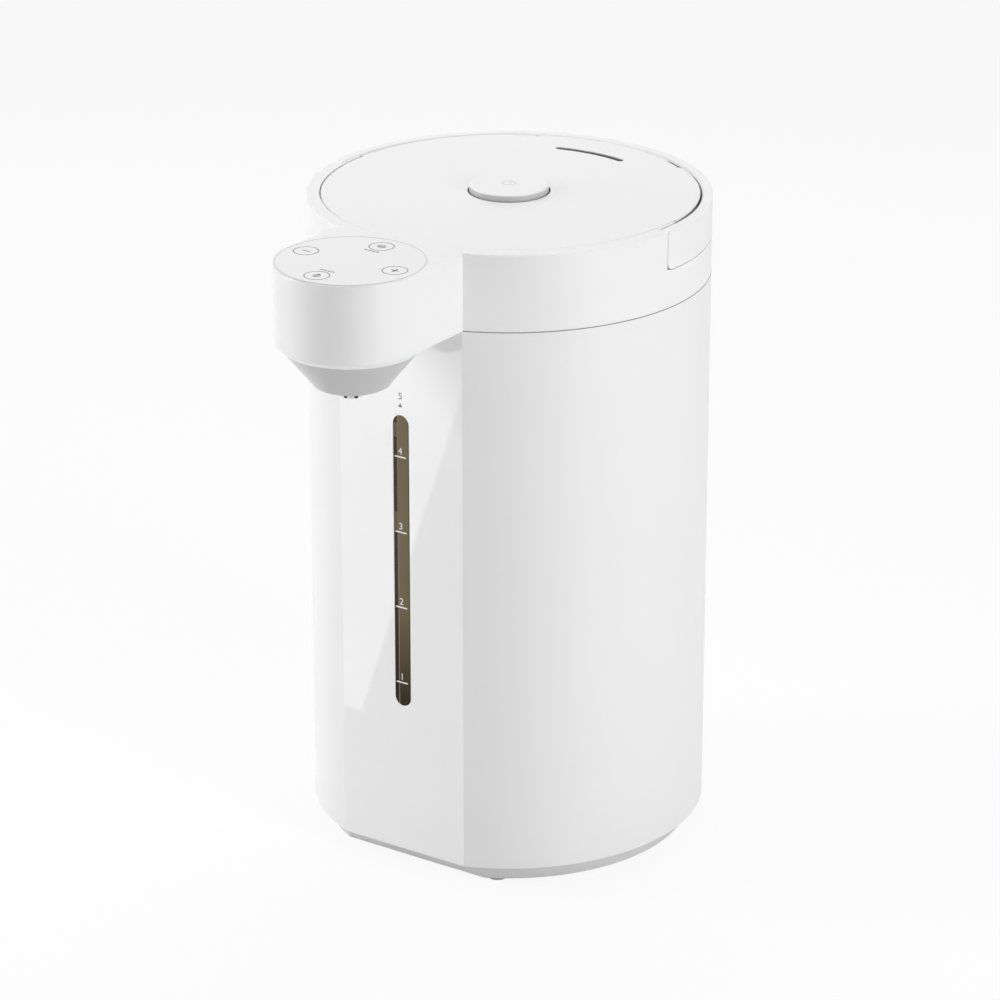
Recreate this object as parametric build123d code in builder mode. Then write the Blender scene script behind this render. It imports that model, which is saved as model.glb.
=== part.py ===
from build123d import *
from math import cos, radians, sin, sqrt
import os

# Electric water boiler: a lacquered round body, a touch-controlled nose with the spout under it,
# a hinged round lid with a press button, and a carrying bail that lies flush round the back.
# Millimetres, +Z up, front towards -Y. The origin is under the middle of the outline, on the table.

# Overall sizes
body_r = 105.0            # outside radius of the body
height = 348.75           # table to the rim of the collar
collar_h = 40.95          # height of the top moulding
nose_r = 38.5             # half width and end radius of the nose
nose_gap = 2.67           # panel to the nose's round end, seen from above
panel_in = 0.365          # nose's side to the panel's edge
shell_foot = 11.5         # height of the shell's lower edge
foot_h = 2.0

# Walls and clearances
shell_wall = 2.2
panel_t = 2.0
collar_wall = 2.4
pot_wall = 0.8
slip = 0.4                # gap between moving outer pieces
play = 0.05               # radial clearance of a pin in its bore

# Pot
pot_inset = 17.75         # body's outside to the pot's inside
pot_back = 6.0            # the pot stands this far behind the body axis, clear of the level tube
pot_floor = 65.0
neck_step = 10.25         # pot's wall to its neck

# Lid and its hinge
rim_w = 7.7               # body's outside to the lid's edge
lid_slip = 0.5            # lid's edge to its well
lid_plate = 2.4
deck_drop = 14.0          # rim to the deck that the lid closes on
hinge_in = 11.3           # lid's edge to its hinge
hinge_drop = 2.4
pin_r = 1.0
button_r = 20.5
button_proud = 3.8

# Handle
bail_t = 5.4
bail_drop = 20.9
bail_front = -11.5        # front ends of the bail, from the body axis
pivot_in = 5.5            # bail end to its pivot
pivot_drop = 4.5
pivot_r = 2.0
bail_corner = 3.5
bail_corner_low = 4.0
bail_edge = 1.0

# Heights and places that follow from the sizes above
panel_half = nose_r - panel_in
panel_out = sqrt(body_r**2 - panel_half**2)
nose_out = panel_out + nose_gap + nose_r
pot_r = body_r - pot_inset        # 41.8 mm of height for each litre
neck_r = pot_r - neck_step
lid_r = body_r - rim_w
well_r = lid_r + lid_slip
hinge_back = lid_r - hinge_in
bail_in = body_r - bail_t
axis_y = (nose_out + nose_r - body_r) / 2
pot_y = axis_y + pot_back
nose_y = axis_y - nose_out
panel_y = axis_y - panel_out
seam_z = height - collar_h
deck_z = height - deck_drop
under_deck_z = deck_z - collar_wall
hinge_y = axis_y + hinge_back
hinge_z = height - hinge_drop
pivot_y = axis_y + bail_front + pivot_in
pivot_z = height - pivot_drop
shell_flat = panel_out - panel_t
inner_r = body_r - shell_wall
inner_flat = shell_flat - shell_wall

body_axis = Axis((0, axis_y, 0), (0, 0, 1))
pot_axis = Axis((0, pot_y, 0), (0, 0, 1))

os.makedirs("parts", exist_ok=True)


# A horizontal plane centred on the body
def level(z):
    return Plane((0, axis_y, z))


# A horizontal plane centred on the pot
def pot_level(z):
    return Plane((0, pot_y, z))


# An upright plane through y, with sketch x across the object and sketch y up
def half_section(y):
    return Plane(origin=(0, y, 0), x_dir=(1, 0, 0), z_dir=(0, -1, 0))


# An upright plane facing +X, with sketch x towards the back and sketch y up
def side_plane(x):
    return Plane(origin=(x, 0, 0), x_dir=(0, 1, 0), z_dir=(1, 0, 0))


# A disc with its front cut straight, drawn on the current sketch
def flat_round(radius, flat):
    Circle(radius)
    with Locations((0, -flat)):
        Rectangle(2 * radius, radius, align=(Align.CENTER, Align.MAX), mode=Mode.SUBTRACT)


# The nose's outline from the body axis forward, drawn on the current sketch
def nose_shape(radius):
    with Locations((0, -nose_out)):
        Circle(radius)
    Rectangle(2 * radius, nose_out, align=(Align.CENTER, Align.MAX))


def save(builder, label):
    builder.part.label = label
    export_step(builder.part, f"parts/{label}.step")


# Window in the front panel
window_low = 93.8
window_drop = 52.9        # collar's seam to the window's top
window_high = seam_z - window_drop
window_w = 9.8
window_mid = (window_low + window_high) / 2
window_h = window_high - window_low
lens_depth = 3.2
lens_t = 1.5
lens_rim = 3.0

# Power inlet at the lower back
inlet_w = 36.0
inlet_h = 28.0
inlet_z = 44.0
inlet_wall = 3.0
inlet_depth = 14.0
inlet_corner = 4.0
inlet_pin_x = 7.0
inlet_pin_r = 2.2
inlet_pin_h = 9.0
inlet_sunk = 1.0          # inlet's rim behind the body's full round
inlet_back = body_r - inlet_sunk


# The window's round-ended slot on an upright plane, cut or added backwards
def window_slot(plane, grow, depth, mode):
    with BuildSketch(plane) as slot:
        with Locations((0, window_mid)):
            SlotOverall(window_h + 2 * grow, window_w + 2 * grow, rotation=90)
    extrude(slot.sketch, amount=-depth, mode=mode)


def make_outer_shell():
    with BuildPart() as outer_shell:
        with BuildSketch(level(shell_foot)):
            Circle(body_r)
            with Locations((0, -shell_flat)):
                Rectangle(2 * panel_half, panel_t * 5, align=(Align.CENTER, Align.MAX), mode=Mode.SUBTRACT)
        extrude(amount=seam_z - shell_foot)
        with BuildSketch(level(shell_foot)):
            flat_round(inner_r, inner_flat)
        extrude(amount=seam_z - shell_foot, mode=Mode.SUBTRACT)
        window_slot(half_section(axis_y - shell_flat - 1), 0, shell_wall + 2, Mode.SUBTRACT)
        with BuildSketch(half_section(axis_y + body_r)):
            with Locations((0, inlet_z)):
                RectangleRounded(inlet_w, inlet_h, inlet_corner)
        extrude(amount=body_r - inner_r + 8, both=True, mode=Mode.SUBTRACT)
    save(outer_shell, "outer_shell")


def make_front_panel():
    with BuildPart() as front_panel:
        with BuildSketch(level(shell_foot)):
            with Locations((0, -panel_out)):
                Rectangle(2 * panel_half, panel_t, align=(Align.CENTER, Align.MIN))
        extrude(amount=seam_z - shell_foot)
        window_slot(half_section(panel_y - 1), 0, panel_t + 2, Mode.SUBTRACT)
        front_edges = front_panel.faces().sort_by(Axis.Y)[0].edges().filter_by(GeomType.CIRCLE)
        fillet(front_edges, 0.4)
    save(front_panel, "front_panel")


def make_window_lens():
    lens_y = panel_y + lens_depth
    seat_y = axis_y - inner_flat
    with BuildPart() as window_lens:
        window_slot(half_section(seat_y), lens_rim, lens_t, Mode.ADD)
        window_slot(half_section(lens_y), -slip / 2, seat_y - lens_y + lens_t, Mode.ADD)
    save(window_lens, "window_lens")


# Nose: touch disc let into the top, spout cowl below
touch_rim = 2.0           # nose's side to the edge of the touch disc
touch_r = nose_r - touch_rim
touch_t = 1.6
roof_t = 2.0
cowl_drop = 22.05         # nose underside to the tip of the cowl
cowl_tip_r = 20.0
cowl_groove = 2.4
cowl_wall = 2.2
floor_t = 2.2
nozzle_r = 5.5
nozzle_bore = 3.4
nozzle_drop = 7.5
cowl_low = seam_z - cowl_drop
nozzle_low = cowl_low - nozzle_drop
track_r = bail_in - slip
track_z = height - bail_drop - slip
track_front = bail_front - slip
lug_h = 4.0

# Latch bolts of the lid
latch_x = 22.0
latch_w = 8.0
latch_t = 3.0
latch_z = height - 8.5    # top of a bolt
latch_reach = 2.6


def make_top_collar():
    with BuildPart() as top_collar:
        with BuildSketch(level(seam_z)):
            Circle(body_r)
            nose_shape(nose_r)
        extrude(amount=collar_h)
        fillet(top_collar.faces().sort_by(Axis.Z)[-1].edges(), 1.0)
        with BuildSketch(level(deck_z)):
            Circle(well_r)
        extrude(amount=deck_drop, mode=Mode.SUBTRACT)
        # Hollow underside, shallower at the back where the bail's track runs above it
        with BuildSketch(level(seam_z)):
            Circle(body_r - collar_wall)
            nose_shape(nose_r - collar_wall)
        extrude(amount=track_z - collar_wall - seam_z, mode=Mode.SUBTRACT)
        with BuildSketch(level(seam_z)):
            Circle(body_r - collar_wall)
            nose_shape(nose_r - collar_wall)
            with Locations((0, track_front - collar_wall)):
                Rectangle(3 * body_r, 3 * body_r, align=(Align.CENTER, Align.MIN), mode=Mode.SUBTRACT)
            Circle(track_r - collar_wall)
        extrude(amount=under_deck_z - seam_z, mode=Mode.SUBTRACT)
        with BuildSketch(level(seam_z)):
            nose_shape(nose_r - collar_wall)
            Circle(well_r + collar_wall, mode=Mode.SUBTRACT)
        extrude(amount=collar_h - touch_t - roof_t, mode=Mode.SUBTRACT)
        # Mouth over the pot, and the recess for the touch disc
        with BuildSketch(pot_level(seam_z)):
            Circle(neck_r + 1.5)
        extrude(amount=collar_h, mode=Mode.SUBTRACT)
        with BuildSketch(level(height - touch_t)):
            with Locations((0, -nose_out)):
                Circle(touch_r + 0.2)
        extrude(amount=touch_t, mode=Mode.SUBTRACT)
        # Track of the bail: open outwards, with thin pivot lugs left standing at its ends
        with BuildSketch(level(track_z)):
            Circle(body_r + 5)
            Circle(track_r, mode=Mode.SUBTRACT)
            with Locations((0, track_front)):
                Rectangle(3 * body_r, 3 * body_r, align=(Align.CENTER, Align.MAX), mode=Mode.SUBTRACT)
        extrude(amount=height - track_z, mode=Mode.SUBTRACT)
        with BuildSketch(level(deck_z)):
            Circle(track_r + 1)
            Circle(well_r - 1, mode=Mode.SUBTRACT)
            with Locations((0, bail_front + 2 * pivot_in + lug_h)):
                Rectangle(3 * body_r, 3 * body_r, align=(Align.CENTER, Align.MAX), mode=Mode.SUBTRACT)
        extrude(amount=height - deck_z, mode=Mode.SUBTRACT)
        with BuildSketch(side_plane(-body_r)):
            with Locations((pivot_y, pivot_z)):
                Circle(pivot_r)
        extrude(amount=2 * body_r, mode=Mode.SUBTRACT)
        # Slots for the latch bolts, in the inner face of the rim
        with BuildSketch(half_section(axis_y - well_r - 2)):
            with Locations((-latch_x, latch_z - latch_t / 2), (latch_x, latch_z - latch_t / 2)):
                Rectangle(latch_w + 1, latch_t + 1)
        extrude(amount=-12, mode=Mode.SUBTRACT)
        # Cradles of the lid's hinge: posts with an open groove on top
        for side in (-1, 1):
            hinge_post(side)
    save(top_collar, "top_collar")


post_x = 26.0
post_w = 12.0
post_front = 2.0
post_back = 1.8


# One open cradle on the deck, for the lid's pin
def hinge_post(side):
    low = deck_z - hinge_z - 1
    foot = Plane(origin=(side * post_x - post_w / 2, hinge_y, hinge_z), x_dir=(0, 1, 0), z_dir=(1, 0, 0))
    with BuildSketch(foot) as profile:
        with BuildLine() as edge:
            Polyline(
                (-post_front, low), (-post_front, 0.55), (0, 0.55),
                (post_back, -0.75), (post_back, low), close=True,
            )
        make_face(edge.edges())
        Circle(pin_r + play, mode=Mode.SUBTRACT)
    extrude(profile.sketch, amount=post_w)


def make_touch_panel():
    with BuildPart() as touch_panel:
        with BuildSketch(level(height - touch_t)):
            with Locations((0, -nose_out)):
                Circle(touch_r)
        extrude(amount=touch_t)
        fillet(touch_panel.faces().sort_by(Axis.Z)[-1].edges(), 0.3)
    save(touch_panel, "touch_panel")


# Spout cowl: a floor across the nose, a dark groove, then a hollow cone down to the nozzle
def make_spout_cowl():
    floor_z = seam_z + slip
    neck = nose_r - collar_wall - slip / 2
    with BuildPart() as spout_cowl:
        with BuildSketch(level(floor_z)):
            nose_shape(neck)
            Circle(body_r - collar_wall - 0.5, mode=Mode.SUBTRACT)
        extrude(amount=floor_t)
        with BuildSketch(half_section(nose_y)):
            with BuildLine():
                Polyline(
                    (0, floor_z + 0.5), (neck - 0.8, floor_z + 0.5), (neck - 0.8, seam_z - cowl_groove),
                    (nose_r - 0.9, seam_z - cowl_groove), (nose_r - 0.9, seam_z - cowl_groove - 0.8),
                    (cowl_tip_r + 1.5, cowl_low), (0, cowl_low), close=True,
                )
            make_face()
        revolve(axis=Axis((0, nose_y, 0), (0, 0, 1)))
        fillet(spout_cowl.faces().sort_by(Axis.Z)[0].edges(), 2.0)
        with BuildSketch(half_section(nose_y)):
            with BuildLine():
                Polyline(
                    (0, floor_z + floor_t), (neck - cowl_wall - 0.8, floor_z + floor_t),
                    (neck - cowl_wall - 0.8, seam_z - cowl_groove - 0.8),
                    (cowl_tip_r - 0.5, cowl_low + cowl_wall), (0, cowl_low + cowl_wall), close=True,
                )
            make_face()
        revolve(axis=Axis((0, nose_y, 0), (0, 0, 1)), mode=Mode.SUBTRACT)
        with BuildSketch(Plane((0, nose_y, cowl_low))):
            Circle(nozzle_r)
        extrude(amount=cowl_wall, mode=Mode.SUBTRACT)
    save(spout_cowl, "spout_cowl")


# Nozzle: a fluted outlet with a seat flange inside the cowl and a spigot for the hose
nozzle_flutes = 6
nozzle_flange = 9.0
spigot_h = 8.0
hose_r = 4.6
hose_bore = 3.4
spout_z = seam_z + 10.0   # height of the hose's run into the nose
hose_bend = 12.0
tube_r = 3.5
tube_bore = 2.5
tube_in = 9.83            # panel's face to the middle of the level tube
tube_drop = 35.8          # hose's run in the nose to the top of the level tube
tube_out = panel_out - tube_in
tube_low = 78.0
tube_high = spout_z - tube_drop
spigot_r = hose_bore + 1.2
nozzle_seat = 1.6


def make_nozzle():
    with BuildPart() as nozzle:
        with BuildSketch(Plane((0, nose_y, nozzle_low))):
            Circle(nozzle_r)
            with PolarLocations(nozzle_r + 0.6, nozzle_flutes):
                Rectangle(3.0, 1.8, mode=Mode.SUBTRACT)
        extrude(amount=nozzle_drop)
        with BuildSketch(Plane((0, nose_y, cowl_low))):
            Circle(nozzle_r)
        extrude(amount=cowl_wall)
        with BuildSketch(Plane((0, nose_y, cowl_low + cowl_wall))):
            Circle(nozzle_flange)
        extrude(amount=nozzle_seat)
        with BuildSketch(Plane((0, nose_y, cowl_low + cowl_wall + nozzle_seat))):
            Circle(spigot_r)
        extrude(amount=spigot_h)
        with BuildSketch(Plane((0, nose_y, nozzle_low))):
            Circle(nozzle_bore)
        extrude(amount=nozzle_drop + cowl_wall + nozzle_seat + spigot_h, mode=Mode.SUBTRACT)
    save(nozzle, "nozzle")


# A hose as runs joined by round bends, with its bore
def hose(points, bend, outer, bore):
    start = Vector(*points[0])
    with BuildPart() as piece:
        with BuildLine() as route:
            FilletPolyline(*points, radius=bend)
        with BuildSketch(Plane(origin=start, z_dir=Vector(*points[1]) - start)) as ring:
            Circle(outer)
            Circle(bore, mode=Mode.SUBTRACT)
        sweep(ring.sketch, path=route.wires()[0])
    return piece


def make_spout_hose():
    low = cowl_low + cowl_wall + nozzle_seat + spigot_h
    tube_y = axis_y - tube_out
    spout_hose = hose(
        [(0, tube_y, tube_high), (0, tube_y, spout_z), (0, nose_y, spout_z), (0, nose_y, low)],
        hose_bend, hose_r, hose_bore,
    )
    save(spout_hose, "spout_hose")


def make_level_tube():
    with BuildPart() as level_tube:
        with BuildSketch(Plane((0, axis_y - tube_out, tube_low))):
            Circle(tube_r)
            Circle(tube_bore, mode=Mode.SUBTRACT)
        extrude(amount=tube_high - tube_low)
    save(level_tube, "level_tube")


# Rubber sleeves over the joints at the two ends of the glass tube
sleeve_wall = 1.6
sleeve_h = 16.0


def make_level_seals():
    for label, mid in (("level_seal_lower", tube_low), ("level_seal_upper", tube_high)):
        with BuildPart() as level_seal:
            with BuildSketch(Plane((0, axis_y - tube_out, mid - sleeve_h / 2))):
                Circle(hose_r + sleeve_wall / 2)
                Circle(tube_r, mode=Mode.SUBTRACT)
            extrude(amount=sleeve_h)
            hose_side = mid - sleeve_h / 2 if label.endswith("lower") else mid
            with BuildSketch(Plane((0, axis_y - tube_out, hose_side))):
                Circle(hose_r)
            extrude(amount=sleeve_h / 2, mode=Mode.SUBTRACT)
        save(level_seal, label)


# Inner pot: a deep round can, narrowed to a neck with a flange under the collar's deck
pot_corner = 7.0
shoulder_low = height - 62.0
shoulder_high = height - 38.0
flange_w = 5.5
gasket_t = 1.8
flange_r = neck_r + flange_w
flange_z = under_deck_z - gasket_t
outlet_in = 35.25         # pot's wall to its outlet, across
outlet_x = outlet_in - pot_r
outlet_y = -27.0          # from the pot's axis
outlet_r = 5.0
outlet_drop = 10.0


def make_inner_pot():
    outer = pot_r + pot_wall
    low = pot_floor - pot_wall
    with BuildPart() as inner_pot:
        with BuildSketch(half_section(pot_y)):
            with BuildLine():
                Line((0, low), (outer - pot_corner, low))
                TangentArc((outer - pot_corner, low), (outer, low + pot_corner), tangent=(1, 0))
                Line((outer, low + pot_corner), (outer, shoulder_low))
                Line((outer, shoulder_low), (neck_r + pot_wall, shoulder_high))
                Line((neck_r + pot_wall, shoulder_high), (neck_r + pot_wall, flange_z))
                Line((neck_r + pot_wall, flange_z), (0, flange_z))
                Line((0, flange_z), (0, low))
            make_face()
        revolve(axis=pot_axis)
        with BuildSketch(half_section(pot_y)):
            with BuildLine():
                Line((0, pot_floor), (pot_r - pot_corner, pot_floor))
                TangentArc((pot_r - pot_corner, pot_floor), (pot_r, pot_floor + pot_corner), tangent=(1, 0))
                Line((pot_r, pot_floor + pot_corner), (pot_r, shoulder_low))
                Line((pot_r, shoulder_low), (neck_r, shoulder_high))
                Line((neck_r, shoulder_high), (neck_r, flange_z))
                Line((neck_r, flange_z), (0, flange_z))
                Line((0, flange_z), (0, pot_floor))
            make_face()
        revolve(axis=pot_axis, mode=Mode.SUBTRACT)
        with BuildSketch(pot_level(flange_z - pot_wall)):
            Circle(flange_r)
            Circle(neck_r, mode=Mode.SUBTRACT)
        extrude(amount=pot_wall)
        with BuildSketch(pot_level(low - outlet_drop)):
            with Locations((outlet_x, outlet_y)):
                Circle(outlet_r)
        extrude(amount=outlet_drop)
        with BuildSketch(pot_level(low - outlet_drop)):
            with Locations((outlet_x, outlet_y)):
                Circle(outlet_r - pot_wall)
        extrude(amount=outlet_drop + 2 * pot_wall, mode=Mode.SUBTRACT)
    save(inner_pot, "inner_pot")


def make_pot_gasket():
    with BuildPart() as pot_gasket:
        with BuildSketch(pot_level(flange_z)):
            Circle(flange_r)
            Circle(neck_r + 1.9, mode=Mode.SUBTRACT)
        extrude(amount=under_deck_z - flange_z)
    save(pot_gasket, "pot_gasket")


# Insulating wrap round the pot, open in front where the level tube runs
wrap_t = 5.0
wrap_gap = 13.0


def make_insulation_wrap():
    with BuildPart() as insulation_wrap:
        with BuildSketch(pot_level(pot_floor + 2 * pot_corner)):
            Circle(pot_r + pot_wall + wrap_t)
            Circle(pot_r + pot_wall, mode=Mode.SUBTRACT)
            Rectangle(2 * wrap_gap, 2 * pot_r, align=(Align.CENTER, Align.MAX), mode=Mode.SUBTRACT)
        extrude(amount=shoulder_low - pot_floor - 2 * pot_corner)
    save(insulation_wrap, "insulation_wrap")


# Ring that carries the pot on the tray
support_in = 8.25         # pot's wall to the ring
support_r = pot_r - support_in
support_wall = 1.5

# Base tray: a tapered tray, a dark groove under the shell and a lip inside the shell.
# Each outline is set in from the body's full round, and from its flat front panel.
tray_low_in = 7.7
tray_low_front = 10.83
tray_top_in = 3.5
tray_top_front = 3.83
groove_in = 6.0
groove_front = 6.33
tray_wall_in = 9.5
tray_wall_front = 11.83
tray_floor = 2.5
groove_h = 2.0
lip_h = 9.0
tray_top = foot_h + tray_floor
foot_in = 9.0             # tray's lower front edge to the middle of a foot
foot_turn = 32.0          # feet stand this much closer together across than front to back
foot_y = panel_out - tray_low_front - foot_in
foot_x = foot_y - foot_turn
foot_r = 5.5
peg_r = 2.5
boss_r = 5.0
boss_in = 11.0            # support ring to a screw, across
boss_gap = 0.4
screw_x = support_r - boss_in
screw_y = pot_back + sqrt((support_r + boss_r + boss_gap) ** 2 - screw_x**2)
screw_r = 3.2
screw_h = 2.8
screw_well = 5.0
screw_play = 0.4
vents = 7
vent_pitch = 6.0
vent_long = 34.0
vent_wide = 2.6
vent_y = 30.0


# Outline of the tray, set in from the body's
def tray_outline(round_in, front_in):
    flat_round(body_r - round_in, panel_out - front_in)


def make_base_tray():
    with BuildPart() as base_tray:
        with BuildSketch(level(foot_h)) as low:
            tray_outline(tray_low_in, tray_low_front)
        with BuildSketch(level(shell_foot - groove_h)) as high:
            tray_outline(tray_top_in, tray_top_front)
        loft([low.sketch, high.sketch])
        with BuildSketch(level(shell_foot - groove_h)):
            tray_outline(groove_in, groove_front)
        extrude(amount=groove_h)
        with BuildSketch(level(shell_foot)):
            flat_round(inner_r, inner_flat)
        extrude(amount=lip_h)
        with BuildSketch(level(tray_top)):
            tray_outline(tray_wall_in, tray_wall_front)
        extrude(amount=shell_foot + lip_h - tray_top, mode=Mode.SUBTRACT)
        with BuildSketch(level(tray_top)):
            with GridLocations(2 * screw_x, 2 * screw_y, 2, 2):
                Circle(boss_r)
        extrude(amount=shell_foot + lip_h - tray_top)
        with BuildSketch(level(foot_h)):
            with GridLocations(2 * foot_x, 2 * foot_y, 2, 2):
                Circle(peg_r)
            with Locations((0, vent_y)):
                with GridLocations(vent_pitch, 1, vents, 1):
                    SlotOverall(vent_long, vent_wide, rotation=90)
        extrude(amount=tray_floor, mode=Mode.SUBTRACT)
        with BuildSketch(level(foot_h)):
            with GridLocations(2 * screw_x, 2 * screw_y, 2, 2):
                Circle(screw_r + screw_play)
        extrude(amount=screw_well, mode=Mode.SUBTRACT)
        # Opening in the lip behind the power inlet
        with BuildSketch(half_section(axis_y + body_r)):
            with Locations((0, inlet_z)):
                Rectangle(inlet_w + 8, inlet_h + 8)
        extrude(amount=20, both=True, mode=Mode.SUBTRACT)
    save(base_tray, "base_tray")


def make_feet():
    places = [(x, y) for x in (-foot_x, foot_x) for y in (-foot_y, foot_y)]
    for number, (x, y) in enumerate(places, start=1):
        with BuildPart() as foot:
            with BuildSketch(Plane((x, axis_y + y, 0))):
                Circle(foot_r)
            extrude(amount=foot_h)
            chamfer(foot.faces().sort_by(Axis.Z)[0].edges(), 0.5)
            with BuildSketch(Plane((x, axis_y + y, foot_h))):
                Circle(peg_r)
            extrude(amount=tray_floor)
        save(foot, f"foot_{number}")


def make_base_screws():
    with BuildPart() as base_screws:
        with BuildSketch(level(foot_h + screw_well - screw_h)):
            with GridLocations(2 * screw_x, 2 * screw_y, 2, 2):
                Circle(screw_r)
        extrude(amount=screw_h)
    save(base_screws, "base_screws")


# The ring is notched where the pump's hose passes
notch_side = 11.0
notch_room = 8.4
notch_h = 26.0


def make_pot_support():
    notch_low_x = outlet_x - notch_side
    notch_high_x = hose_r + notch_room
    with BuildPart() as pot_support:
        with BuildSketch(pot_level(tray_top)):
            Circle(support_r)
            Circle(support_r - support_wall, mode=Mode.SUBTRACT)
        extrude(amount=pot_floor - pot_wall - tray_top)
        with BuildSketch(half_section(pot_y)):
            with Locations(((notch_low_x + notch_high_x) / 2, pump_out_z + hose_rise / 2 + 0.5)):
                Rectangle(notch_high_x - notch_low_x, notch_h)
        extrude(amount=pot_r, mode=Mode.SUBTRACT)
    save(pot_support, "pot_support")


# Heating plate with its cast-in ring, and the two thermostats clipped under it
plate_in = 41.25          # pot's wall to the plate's edge
plate_r = pot_r - plate_in
plate_t = 4.0
coil_tube = 4.0
coil_r = plate_r - 2 * coil_tube
terminal_r = 2.2
terminal_h = 8.0
thermostat_x = 14.0
thermostat_r = 8.0
thermostat_h = 9.0
tab_h = 6.0
tab_w = 5.0
tab_t = 0.8


def make_heating_plate():
    top = pot_floor - pot_wall
    with BuildPart() as heating_plate:
        with BuildSketch(pot_level(top - plate_t)):
            Circle(plate_r)
        extrude(amount=plate_t)
        with BuildSketch(half_section(pot_y)):
            with Locations((coil_r, top - plate_t)):
                Circle(coil_tube)
        revolve(axis=pot_axis)
    save(heating_plate, "heating_plate")


def make_heater_terminals():
    with BuildPart() as heater_terminals:
        with BuildSketch(pot_level(pot_floor - pot_wall - plate_t - coil_tube - terminal_h)):
            with PolarLocations(coil_r, 2, start_angle=-20, angular_range=20, endpoint=True):
                Circle(terminal_r)
        extrude(amount=terminal_h + coil_tube)
        with BuildSketch(half_section(pot_y)):
            with Locations((coil_r, pot_floor - pot_wall - plate_t)):
                Circle(coil_tube)
        revolve(axis=pot_axis, mode=Mode.SUBTRACT)
    save(heater_terminals, "heater_terminals")


def make_thermostats():
    for label, x in (("boil_thermostat", -thermostat_x), ("safety_thermostat", thermostat_x)):
        top = pot_floor - pot_wall - plate_t
        with BuildPart() as thermostat:
            with BuildSketch(pot_level(top - thermostat_h)):
                with Locations((x, 0)):
                    Circle(thermostat_r)
            extrude(amount=thermostat_h)
            with BuildSketch(pot_level(top - 1)):
                with Locations((x, 0)):
                    SlotOverall(3 * thermostat_r, thermostat_h, rotation=90)
            extrude(amount=1)
            with BuildSketch(pot_level(top - thermostat_h - tab_h)):
                with Locations((x - thermostat_r / 2, 0), (x + thermostat_r / 2, 0)):
                    Rectangle(tab_t, tab_w)
            extrude(amount=tab_h)
        save(thermostat, label)


# Pump under the pot's outlet: housing, cover, impeller and motor
volute_r = 15.0
volute_h = 13.0
volute_wall = 1.6
pump_drop = 18.0          # pot's floor to the top of the pump
pump_top = pot_floor - pump_drop
pump_out_z = pump_top - volute_h / 2 - 1
pump_reach = 26.0
spigot_in = 3.5           # volute's inner wall to the middle of its spigot
hose_rise = 4.0
cover_t = 1.6
blade_count = 6
blade_t = 1.0
blade_h = 6.0
blade_turn = 35.0
hub_r = 3.0
disc_t = 1.2
impeller_gap = 2.9
motor_r = 12.5
motor_h = 26.5
motor_low = pump_top - volute_h - motor_h
motor_foot = 16.0
motor_foot_r = 2.0
shaft_r = 1.5
shaft_in = 9.5            # length of shaft inside the motor


def pump_plane(z):
    return Plane((outlet_x, pot_y + outlet_y, z))


def make_pump_housing():
    low = pump_top - volute_h
    inside = volute_r - volute_wall
    with BuildPart() as pump_housing:
        with BuildSketch(pump_plane(low)):
            Circle(volute_r)
        extrude(amount=volute_h)
        with BuildSketch(half_section(pot_y + outlet_y)):
            with Locations((outlet_x + inside - spigot_in, pump_out_z)):
                Circle(spigot_r)
        extrude(amount=pump_reach)
        with BuildSketch(pump_plane(low + volute_wall)):
            Circle(inside)
        extrude(amount=volute_h - volute_wall, mode=Mode.SUBTRACT)
        with BuildSketch(half_section(pot_y + outlet_y)):
            with Locations((outlet_x + inside - spigot_in, pump_out_z)):
                Circle(hose_bore)
        extrude(amount=pump_reach, mode=Mode.SUBTRACT)
        with BuildSketch(pump_plane(low)):
            Circle(shaft_r + play)
        extrude(amount=volute_wall, mode=Mode.SUBTRACT)
    save(pump_housing, "pump_housing")


def make_pump_cover():
    with BuildPart() as pump_cover:
        with BuildSketch(pump_plane(pump_top)):
            Circle(volute_r)
            Circle(outlet_r - 1, mode=Mode.SUBTRACT)
        extrude(amount=cover_t)
        with BuildSketch(pump_plane(pump_top + cover_t)):
            Circle(outlet_r)
            Circle(outlet_r - 1, mode=Mode.SUBTRACT)
        extrude(amount=pot_floor - pot_wall - outlet_drop - pump_top - cover_t)
    save(pump_cover, "pump_cover")


def make_suction_hose():
    low = pump_top + cover_t
    with BuildPart() as suction_hose:
        with BuildSketch(pump_plane(low)):
            Circle(outlet_r + sleeve_wall)
            Circle(outlet_r, mode=Mode.SUBTRACT)
        extrude(amount=pot_floor - pot_wall - low)
    save(suction_hose, "suction_hose")


def make_impeller():
    low = pump_top - volute_h + volute_wall + 0.6
    shaft_low = pump_top - volute_h - shaft_in
    reach = volute_r - volute_wall - impeller_gap
    blade_w = reach - hub_r + 0.1
    with BuildPart() as impeller:
        with BuildSketch(pump_plane(low)):
            Circle(reach)
        extrude(amount=disc_t)
        with BuildSketch(pump_plane(low + disc_t)):
            Circle(hub_r)
            with PolarLocations(hub_r + blade_w / 2 - 0.2, blade_count):
                Rectangle(blade_w, blade_t, rotation=blade_turn)
        extrude(amount=blade_h)
        with BuildSketch(pump_plane(shaft_low)):
            Circle(shaft_r)
        extrude(amount=low - shaft_low)
    save(impeller, "impeller")


def make_pump_motor():
    high = pump_top - volute_h
    with BuildPart() as pump_motor:
        with BuildSketch(pump_plane(motor_low)):
            Circle(motor_r)
        extrude(amount=high - motor_low)
        with BuildSketch(pump_plane(tray_top)):
            with GridLocations(motor_foot, motor_foot, 2, 2):
                Circle(motor_foot_r)
        extrude(amount=motor_low - tray_top)
        with BuildSketch(pump_plane(high - shaft_in - 0.6)):
            Circle(shaft_r + play)
        extrude(amount=shaft_in + 0.6, mode=Mode.SUBTRACT)
    save(pump_motor, "pump_motor")


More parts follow.
